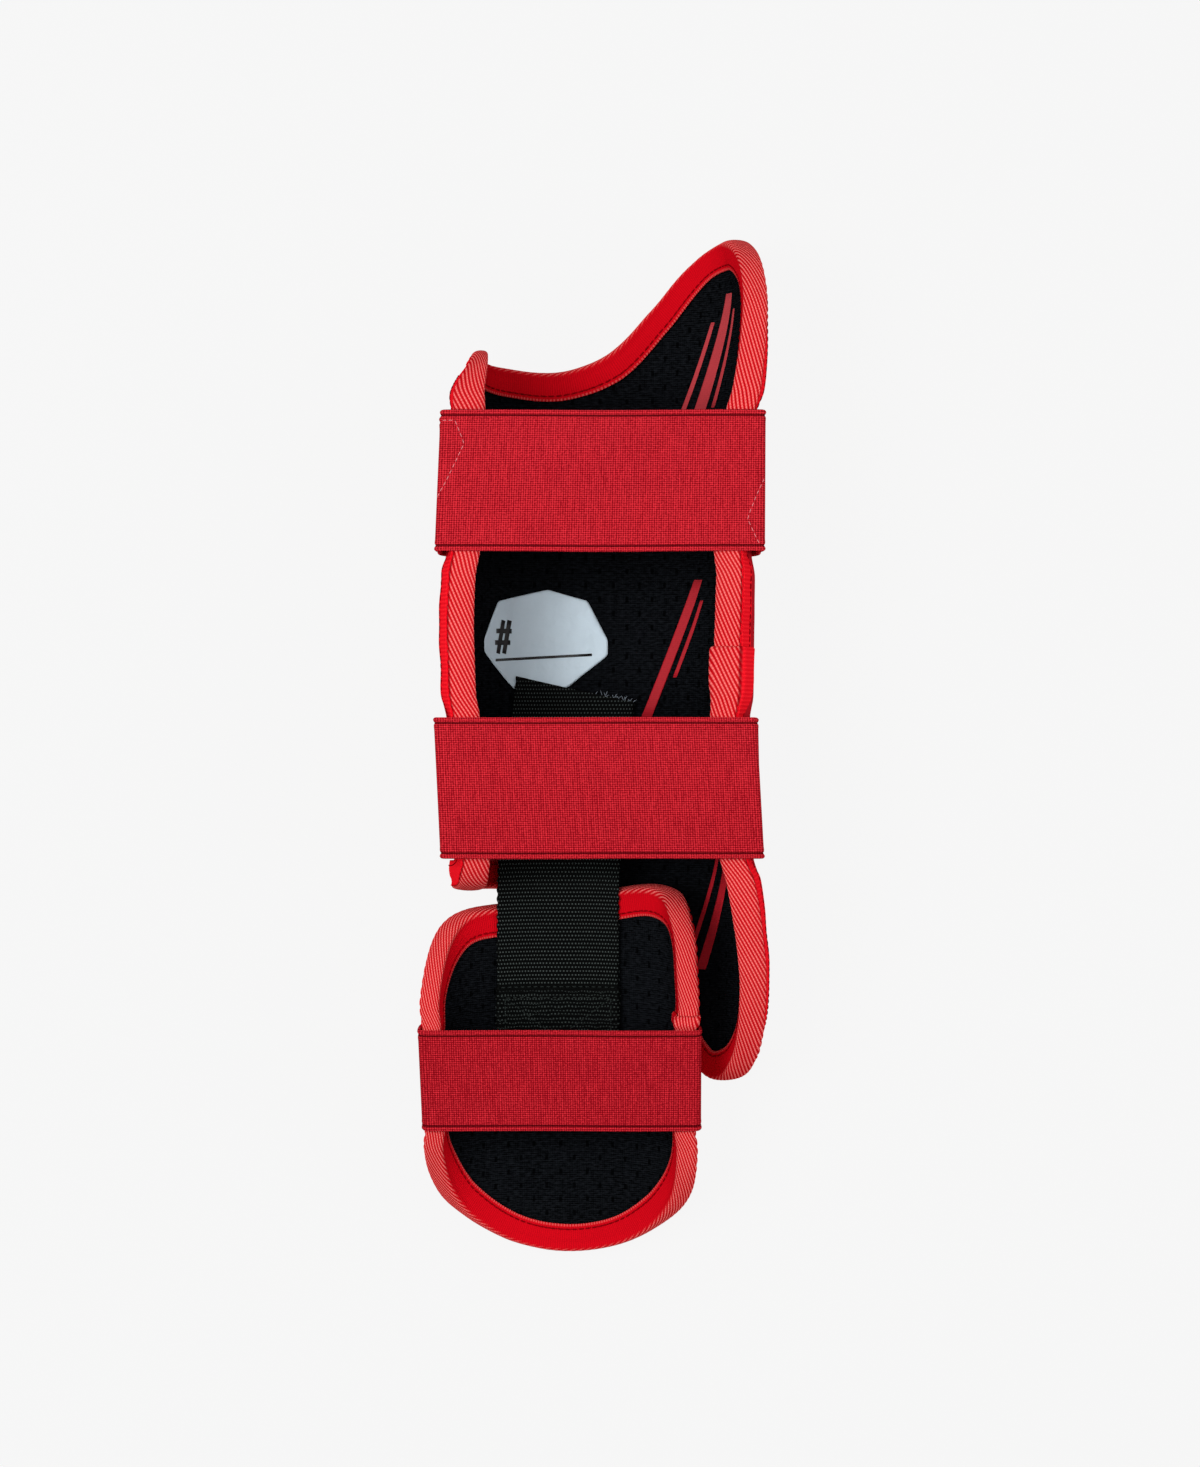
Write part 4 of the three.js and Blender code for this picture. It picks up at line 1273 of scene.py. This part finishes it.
class GUARD_OT_bands(bpy.types.Operator):
    """Make the three elastic bands with their seams"""

    bl_idname = "guard.bands"
    bl_label = "Elastic bands"

    def execute(self, context):
        for k, (name, panel_name, centre, width) in enumerate(band_places()):
            panel = PANELS[panel_name]()
            self.band(name, panel, centre, width, 20 + k)
            self.seams(name, panel, centre, width)
        return {"FINISHED"}

    def thickness(self, across, width):
        """Half thickness: thin rounded border, a raised cord, a groove and the flat body."""
        band = settings("band")
        edge = width / 2 - np.abs(across)
        half = band.wall / 2
        border = rounded(edge, 0.8 * MM)
        cord = 0.22 * MM * np.exp(-((edge - 0.9 * MM) / (0.6 * MM)) ** 2)
        groove = -0.34 * MM * np.exp(-((edge - 2.1 * MM) / (0.4 * MM)) ** 2)
        second = 0.10 * MM * np.exp(-((edge - 3.2 * MM) / (0.7 * MM)) ** 2)
        return half * border + (cord + groove + second) * border

    def band(self, name, panel, centre, width, seed):
        """A wall on both sides of the band's line, a little wavy over its open part."""
        band = settings("band")
        # Marks across the band: close together over the border's cords, and even over the body.
        edge = np.array([0, 0.12, 0.3, 0.55, 0.8, 1.05, 1.35, 1.65, 1.9, 2.1, 2.3, 2.6, 3.0, 3.5, 4.2]) * MM
        body = np.linspace(-width / 2 + 5 * MM, width / 2 - 5 * MM, 26)
        across = np.concatenate([edge - width / 2, body, (width / 2 - edge)[::-1]])
        line = band_line(name, panel, centre + across)
        normals = band_normals(line)
        run = run_along(line[len(across) // 2])
        t, a = run[None, :], across[:, None]
        middle = np.sin(np.pi * t / run[-1]) ** 2
        wavy = noise(t, a * 0.3, seed, 0.06) * 0.35 * MM
        line = line + normals * (wavy * middle)[..., None]
        drift = noise(t, 0 * a, seed + 9, 0.09, 1) * 0.3 * MM * middle
        line[..., 1] += drift
        half = self.thickness(across, width)[:, None] + 0 * t
        outer = line + normals * half[..., None]
        inner = line - normals * np.minimum(half, band.wall / 2)[..., None]
        pattern = np.stack(np.broadcast_arrays(t, width / 2 - np.abs(a)), -1)
        piece = slab(name + "_elastic_band", panel.place(outer), panel.place(inner), pattern, elastic_cloth())
        dress(piece, "elastic", name + "_strap")

    # Corners of the zigzag seams of the upper band, as (in from the end, up from the middle) in mm.
    zigzags = {-1: [(0.3, 22), (4.8, 22), (8.6, 13.6), (-0.2, -6.5)], 1: [(0, 1), (5.8, -14), (1.4, -23.5)]}

    def seams(self, name, panel, centre, width):
        """Two seams across both ends of a band, and the crooked ones that show on the upper band."""
        across = np.linspace(-width / 2, width / 2, 61)
        line = band_line(name, panel, centre + across)
        normals = band_normals(line)
        run = run_along(line[len(across) // 2])
        end_run = run[SIDE_STEPS] + 0.5 * settings("band").bend
        paths = []
        near, far, inset = 5 * MM, 24 * MM, 4 * MM
        for t in (near, far, run[-1] - far, run[-1] - near):
            paths.append((np.full(60, t), np.linspace(-width / 2 + inset, width / 2 - inset, 60)))
        for sign, corners in self.zigzags.items() if name == "upper" else ():
            corners = np.array(corners) * MM
            dense = np.linspace(0, len(corners) - 1, 90)
            t = end_run + np.interp(dense, np.arange(len(corners)), corners[:, 0])
            a = np.interp(dense, np.arange(len(corners)), corners[:, 1])
            paths.append((t if sign < 0 else run[-1] - t, a))
        lines = []
        for t, a in paths:
            row = np.clip(np.searchsorted(across, a), 0, len(across) - 1)
            k = np.clip(np.searchsorted(run, t) - 1, 0, len(run) - 2)
            part = ((t - run[k]) / (run[k + 1] - run[k]))[:, None]
            up = mix(normals[row, k], normals[row, k + 1], part)
            place = mix(line[row, k], line[row, k + 1], part)
            place[:, 1] = centre + a
            place = place + up * (settings("band").wall / 2 + 0.1 * MM)
            lines.append((panel.place(place), panel.place(place + up * MM) - panel.place(place)))
        yarn = thread("pink_thread", tuple(settings("colours").pink_thread))
        piece = stitch_run(name + "_band_seams", lines, yarn, 1.7 * MM, 0.7 * MM, 0.15 * MM)
        dress(piece, "elastic")


class GUARD_OT_hooks(bpy.types.Operator):
    """Make the hook patches under the ends of the bands"""

    bl_idname = "guard.hooks"
    bl_label = "Hook patches"

    # Clearance between a patch and the cover.
    lift = 0.35 * MM

    def execute(self, context):
        band = settings("band")
        for name, panel_name, centre, width in band_places():
            panel = PANELS[panel_name]()
            for side, sign in (("left", -1), ("right", 1)):
                u, v = np.linspace(0, 1, 26)[None, :], np.linspace(-1, 1, 32)[:, None]
                y = centre + v * (width / 2 - band.hook_inset)
                girth = panel.girth(y, np.full(y.shape, sign < 0))
                s = sign * (girth * (band.end_share + u * band.hook_share) + band.hook_inset)
                border = np.minimum(np.minimum(u, 1 - u) * 20 * MM, (1 - np.abs(v)) * (width / 2))
                round_off = 0.2 * MM * (1 - ease(border, 0, 0.8 * MM))
                near = wall_half() + self.lift
                outer = panel.at(s, y, near + band.hook_wall - round_off)
                inner = panel.at(s, y, near + round_off)
                piece = slab(f"{name}_{side}_hooks", outer, inner, np.stack([s, y + 0 * s], -1), hook_cloth())
                dress(piece, "hook_cloth", f"{name}_hook_{side}")
        return {"FINISHED"}


# Webbing

# Share of the upper end's slant by which the strap itself leans above the climb.
SKEW_SHARE = 0.74


def webbing_at(shin, pad, across, y, lift):
    """A point of the webbing: on the shin panel, on the foot pad, or eased between the two."""
    web, size, gap = settings("webbing"), settings("pad"), settings("wall").gap
    on_shin = wall_half() + FOAM_RISE + settings("label").wall + gap
    on_pad = tape_face() + gap
    skew = web.centre_x + np.maximum(0, y - web.climb_start) * web.turn * SKEW_SHARE
    low = shin.at(skew + across, y, -on_shin - lift)
    pad_y = (y - size.end_y) / np.cos(size.tilt)
    high = pad.at(across + web.centre_x - size.centre_x, pad_y, -on_pad - lift)
    return mix(low, high, ease(-y, -web.climb_start, -web.climb_end)[..., None])


def doubled(y):
    """1 below the seam, where the webbing lies double, and 0 above it."""
    seam_y = settings("webbing").seam_y
    return ease(-y, -seam_y - 0.4 * MM, -seam_y + 0.6 * MM)


class GUARD_OT_webbing(bpy.types.Operator):
    """Make the black webbing between the panels, with its seams"""

    bl_idname = "guard.webbing"
    bl_label = "Webbing"

    def execute(self, context):
        self.strap(shin_panel(), pad_panel())
        self.seams(shin_panel(), pad_panel())
        return {"FINISHED"}

    def strap(self, shin, pad):
        """A ribbed wall with round borders, whose selvage is wavy and which lies double below the seam."""
        web = settings("webbing")
        half = web.width / 2
        border = np.array([0, 0.15, 0.4, 0.8, 1.3]) * MM
        body = np.linspace(2 * MM - half, half - 2 * MM, 44)
        across = np.concatenate([border - half, body, (half - border)[::-1]])[None, :]
        v = np.linspace(0, 1, 450)[:, None]
        y = mix(web.end + 0 * across, web.top - across * web.turn, v)
        edge = half - np.abs(across)
        round_off = rounded(edge, MM)
        ribs = 0.5 + 0.5 * np.cos(TAU * y / web.rib)
        below = doubled(y)
        selvage = across + np.sign(across) * below * 0.6 * MM * ease(edge, 3 * MM, 0)
        wavy = np.sign(across) * 0.25 * MM * np.sin(TAU * y / (3.4 * MM)) * (edge < 0.5 * MM)
        top = web.wall - 0.25 * MM + (0.2 * MM * ribs - 0.15 * MM) * round_off + 0.9 * MM * below
        top = mix(web.wall / 2, top, round_off)
        bottom = mix(web.wall / 2, 0, round_off) + 0 * y
        outer = webbing_at(shin, pad, selvage + wavy, y, bottom)
        inner = webbing_at(shin, pad, selvage + wavy, y, top)
        pattern = np.stack([across + 0 * y, y], -1)
        piece = slab("webbing_strap", outer, inner, pattern, webbing_cloth())
        dress(piece, "webbing", "webbing")

    def seams(self, shin, pad):
        """A close seam across the webbing, and a box with crossing seams below it."""
        web = settings("webbing")
        half, top, low = web.width / 2 - 3 * MM, web.seam_y, web.seam_y - 34 * MM
        runs = [
            [(-half - 2 * MM, top), (half + 2 * MM, top)], [(-half, top - 4 * MM), (half, top - 4 * MM)],
            [(-half, top - 4 * MM), (-half, low)], [(half, top - 4 * MM), (half, low)],
            [(-half, top - 4 * MM), (half, low)], [(half, top - 4 * MM), (-half, low)],
        ]
        lines = []
        for (a0, y0), (a1, y1) in runs:
            t = np.linspace(0, 1, 80)
            a, y = mix(a0, a1, t), mix(y0, y1, t)
            lift = web.wall + doubled(y) * 0.8 * MM - 0.05 * MM
            place = webbing_at(shin, pad, a, y, lift)
            up = webbing_at(shin, pad, a, y, lift + MM) - place
            lines.append((place, up))
        yarn = thread("black_thread", tuple(c * 0.4 for c in settings("colours").webbing_light), 0.3)
        piece = stitch_run("webbing_seams", lines, yarn, 1.6 * MM, 0.8 * MM, 0.26 * MM)
        dress(piece, "webbing")
        self.fibres(shin, pad)

    def fibres(self, shin, pad):
        """Loose fibres at the right part of the cut upper end, each a short curve of its own direction."""
        web = settings("webbing")
        rng = np.random.default_rng(41)
        lines = []
        for across, turn, reach in zip(
            rng.uniform(0.25, 0.95, 16) * web.width / 2, rng.uniform(-1.1, 1.3, 16), rng.uniform(2.2, 4.6, 16)
        ):
            t = np.linspace(0, 1, 8)
            a = across + np.sin(turn) * reach * MM * t + 0.5 * MM * np.sin(3 * t + turn)
            y = web.top - across * web.turn - MM + np.cos(turn) * reach * MM * t
            place = webbing_at(shin, pad, a, y, web.wall * 0.7 + 0.3 * MM * t)
            lines.append((place, webbing_at(shin, pad, a, y, web.wall * 0.7 + 0.3 * MM * t + MM) - place))
        yarn = thread("loose_fibre", (0.22, 0.26, 0.30), 0.6)
        dress(stitch_run("webbing_fibres", lines, yarn, 2.1 * MM, 0.02 * MM, 0.12 * MM), "webbing")


# Label and print

# Size of a film's smallest ring, as a share of its outline.
LAST_RING = 0.02


def polygon_grid(corners, rings, per_side, rounding):
    """A round-cornered polygon as rings that shrink towards its middle: arrays of x and y."""
    count = len(corners)
    before, after = np.roll(corners, 1, 0), np.roll(corners, -1, 0)
    t = np.linspace(0, 1, per_side)[:, None]
    parts = []
    for k in range(count):
        a = corners[k] + (before[k] - corners[k]) * rounding / np.linalg.norm(before[k] - corners[k])
        b = corners[k] + (after[k] - corners[k]) * rounding / np.linalg.norm(after[k] - corners[k])
        parts.append(a * (1 - t) ** 2 + corners[k] * 2 * t * (1 - t) + b * t**2)
        nxt = corners[(k + 1) % count]
        c = nxt + (corners[k] - nxt) * rounding / np.linalg.norm(nxt - corners[k])
        parts.append(mix(b, c, np.linspace(0, 1, per_side)[1:-1, None]))
    outline = np.concatenate(parts)
    middle = outline.mean(0)
    sizes = np.linspace(1, LAST_RING, rings)[:, None, None]
    grid = middle + (outline[None] - middle) * sizes
    return grid[..., 0], grid[..., 1]


def film(name, panel, corners, near, wall, rounding, material, lumps, rings, per_side):
    """A thin film lying on the lining, given by its corners (s, y), with a thin border and low lumps."""
    s, y = polygon_grid(np.array(corners, float), rings, per_side, rounding)
    lift = lumps * noise(s, y, 5, 0.016)
    ramp = np.minimum(1, (1 - np.linspace(1, LAST_RING, rings))[:, None] * 30)
    low = panel.at(s, y, -(near + lift * ramp))
    high = panel.at(s, y, -(near + lift * ramp + wall * mix(0.35, 1, ramp)))
    rows, columns = s.shape
    count = rows * columns
    faces = grid_faces(rows, columns, close_columns=True)
    rim = np.arange(columns)
    after = np.roll(rim, -1)
    side = np.stack([after, rim, rim + count, after + count], 1)
    points = np.concatenate([high.reshape(-1, 3), low.reshape(-1, 3)])
    quads = np.concatenate([faces, faces[:, ::-1] + count, side])
    pattern = np.tile(np.stack([s, y], -1).reshape(-1, 2), (2, 1))
    last = np.arange(columns) + (rows - 1) * columns
    caps = [last, (last + count)[::-1]]
    return make_piece(name, points, quads, pattern, material, caps)


class GUARD_OT_label(bpy.types.Operator):
    """Make the write-in label with its number sign and line"""

    bl_idname = "guard.label"
    bl_label = "Label"

    def execute(self, context):
        size = settings("label")
        shin = shin_panel()
        near = wall_half() + FOAM_RISE
        centre = np.array([size.centre_s, size.centre_y])
        corners = centre + np.array(LABEL_CORNERS) * np.array([size.width, size.height]) / 2
        piece = film(
            "write_in_label", shin, corners, near, size.wall, 1.2 * MM, label_film(), 0.12 * MM, 30, 12
        )
        dress(piece, "label_film", "name_label")
        self.ink(shin, near + size.wall + 0.2 * MM)
        return {"FINISHED"}

    def ink(self, shin, near):
        """Bars of ink: two upright and two level ones for the number sign, and the write-in line."""
        bars = [
            ((-44.3, 30.4), (-41.4, 43.1), 2.1), ((-41.1, 30.4), (-38.3, 43.1), 2.1),
            ((-45.3, 39.0), (-37.3, 39.0), 1.8), ((-46.0, 34.6), (-38.0, 34.6), 1.8),
            ((-45.7, 27.9), (-3.1, 30.1), 1.0),
        ]
        for k, (a, b, wide) in enumerate(bars):
            a, b = np.array(a) * MM, np.array(b) * MM
            along = (b - a) / np.linalg.norm(b - a)
            side = np.array([-along[1], along[0]]) * wide * MM / 2
            corners = [a - side, b - side, b + side, a + side]
            bar = f"label_ink_{k + 1}"
            piece = film(bar, shin, corners, near, 0.05 * MM, 0.1 * MM, label_ink(), 0.0, 4, 12)
            dress(piece, "label_film")


# Slanted strips of red film on the lining, in mm: middle round and along the panel, length and width.
PRINT_STRIPS = [
    (30.2, 32, 58, 4.0), (37.4, 36, 32, 1.6),
    (40.9, 137, 42, 2.0), (49.4, 138, 62, 5.6), (58.2, 142, 40, 2.0),
    (46.4, -64, 40, 2.0), (53.6, -66, 52, 4.6),
]
PRINT_SLANT = np.radians(66)
# How far the strips lie over the plain face of the lining.
PRINT_LIFT = 0.75 * MM


class GUARD_OT_print(bpy.types.Operator):
    """Press plain slanted strips of red film on the long side of the lining"""

    bl_idname = "guard.print"
    bl_label = "Printed strips"

    def execute(self, context):
        shin = shin_panel()
        for k, row in enumerate(PRINT_STRIPS):
            s, y, strip, wide = np.array(row) * MM
            half = strip / 2 * np.array([np.cos(PRINT_SLANT), np.sin(PRINT_SLANT)])
            side = np.array([wide / 2 / np.sin(PRINT_SLANT), 0])
            middle = np.array([s, y])
            corners = [middle - half - side, middle - half + side, middle + half + side, middle + half - side]
            near = wall_half() + PRINT_LIFT
            strip_name = f"print_strip_{k + 1:02d}"
            piece = film(strip_name, shin, corners, near, 0.12 * MM, 0.5 * MM, print_film(), 0.0, 6, 24)
            dress(piece, "lining_cloth")
        return {"FINISHED"}


# Stage


class GUARD_OT_stage(bpy.types.Operator):
    """Set the floor, the lights and the camera"""

    bl_idname = "guard.stage"
    bl_label = "Stage"

    camera_height: length("Camera height", "Distance from the floor", 1700)
    photo_focus: bpy.props.FloatProperty(name="Focus", description="Focal length in pixels", default=4413)

    # Height of the picture in pixels, which the focal length goes with.
    picture_height = 1467
    # Name, place and size in metres, and power in watts of each lamp, and the strength of the sky.
    lamps = (
        ("key", (-0.74, 0.08, 1.46), 0.9, 21.0),
        ("top", (0.1, 0.1, 1.64), 0.7, 5.6),
        ("fill", (1.3, 0.0, 0.75), 1.0, 8.5),
    )
    sky = 0.38

    def execute(self, context):
        self.floor()
        self.camera()
        for lamp in self.lamps:
            self.light(*lamp)
        world = bpy.data.worlds.new("studio")
        world.use_nodes = True
        background = world.node_tree.nodes["Background"]
        background.inputs["Color"].default_value = (1, 1, 1, 1)
        background.inputs["Strength"].default_value = self.sky
        context.scene.world = world
        context.scene.view_settings.view_transform = "Standard"
        return {"FINISHED"}

    def floor(self):
        """A pale floor, 6 m wide, that glows evenly."""
        m = Maker("floor")
        patch = m.cloud(m.place(), 3.0)
        tone = tuple(settings("colours").floor)
        glow = m.blend(patch, tuple(c * 0.995 for c in tone), tone)
        material = m.finish(Base_Color=(0.02, 0.02, 0.02), Roughness=1.0, Specular_IOR_Level=0.0,
                            Emission_Color=glow, Emission_Strength=1.0)
        corners = np.array([(-3, -3, 0), (3, -3, 0), (3, 3, 0), (-3, 3, 0)], float)
        mesh = bpy.data.meshes.new("floor")
        mesh.from_pydata(corners.tolist(), [], [(0, 1, 2, 3)])
        mesh.materials.append(material)
        floor = bpy.data.objects.new("floor", mesh)
        bpy.context.collection.objects.link(floor)

    def camera(self):
        """A camera straight above the guard, at the distance of the photograph."""
        data = bpy.data.cameras.new("camera")
        data.sensor_width = 36
        data.lens = self.photo_focus / self.picture_height * data.sensor_width
        camera = bpy.data.objects.new("camera", data)
        camera.location = (0, 0, self.camera_height)
        bpy.context.collection.objects.link(camera)
        bpy.context.scene.camera = camera

    def light(self, name, place, size, power):
        """A round soft lamp that points at the origin."""
        data = bpy.data.lights.new(name, "AREA")
        data.shape, data.size, data.energy = "DISK", size, power
        lamp = bpy.data.objects.new(name, data)
        lamp.location = place
        away = np.array(place) / np.linalg.norm(place)
        lamp.rotation_euler = (np.arccos(away[2]), 0, np.arctan2(away[1], away[0]) + np.pi / 2)
        bpy.context.collection.objects.link(lamp)


PIECES = ("covers", "linings", "tapes", "bands", "hooks", "webbing", "label", "print", "stage")


class GUARD_PT_panel(bpy.types.Panel):
    """Lists the pieces of the guard and the stage"""

    bl_idname = "GUARD_PT_panel"
    bl_label = "Leg guard"
    bl_space_type = "VIEW_3D"
    bl_region_type = "UI"
    bl_category = "Leg guard"

    def draw(self, context):
        for name in PIECES:
            self.layout.operator("guard." + name)


GROUPS = {
    "wall": WallSizes, "shin": ShinSizes, "pad": PadSizes, "band": BandSizes, "webbing": WebbingSizes,
    "label": LabelSizes, "colours": Colours,
}
CLASSES = [
    *GROUPS.values(), GUARD_OT_covers, GUARD_OT_linings, GUARD_OT_tapes, GUARD_OT_bands, GUARD_OT_hooks,
    GUARD_OT_webbing, GUARD_OT_label, GUARD_OT_print, GUARD_OT_stage, GUARD_PT_panel,
]


def register():
    for cls in CLASSES:
        bpy.utils.register_class(cls)
    for name, group in GROUPS.items():
        setattr(bpy.types.Scene, "guard_" + name, bpy.props.PointerProperty(type=group))


def unregister():
    for name in GROUPS:
        delattr(bpy.types.Scene, "guard_" + name)
    for cls in reversed(CLASSES):
        bpy.utils.unregister_class(cls)


def main():
    """Makes every piece and the stage."""
    register()
    for name in PIECES:
        getattr(bpy.ops.guard, name)()
    bpy.context.view_layer.update()


if __name__ == "__main__":
    main()
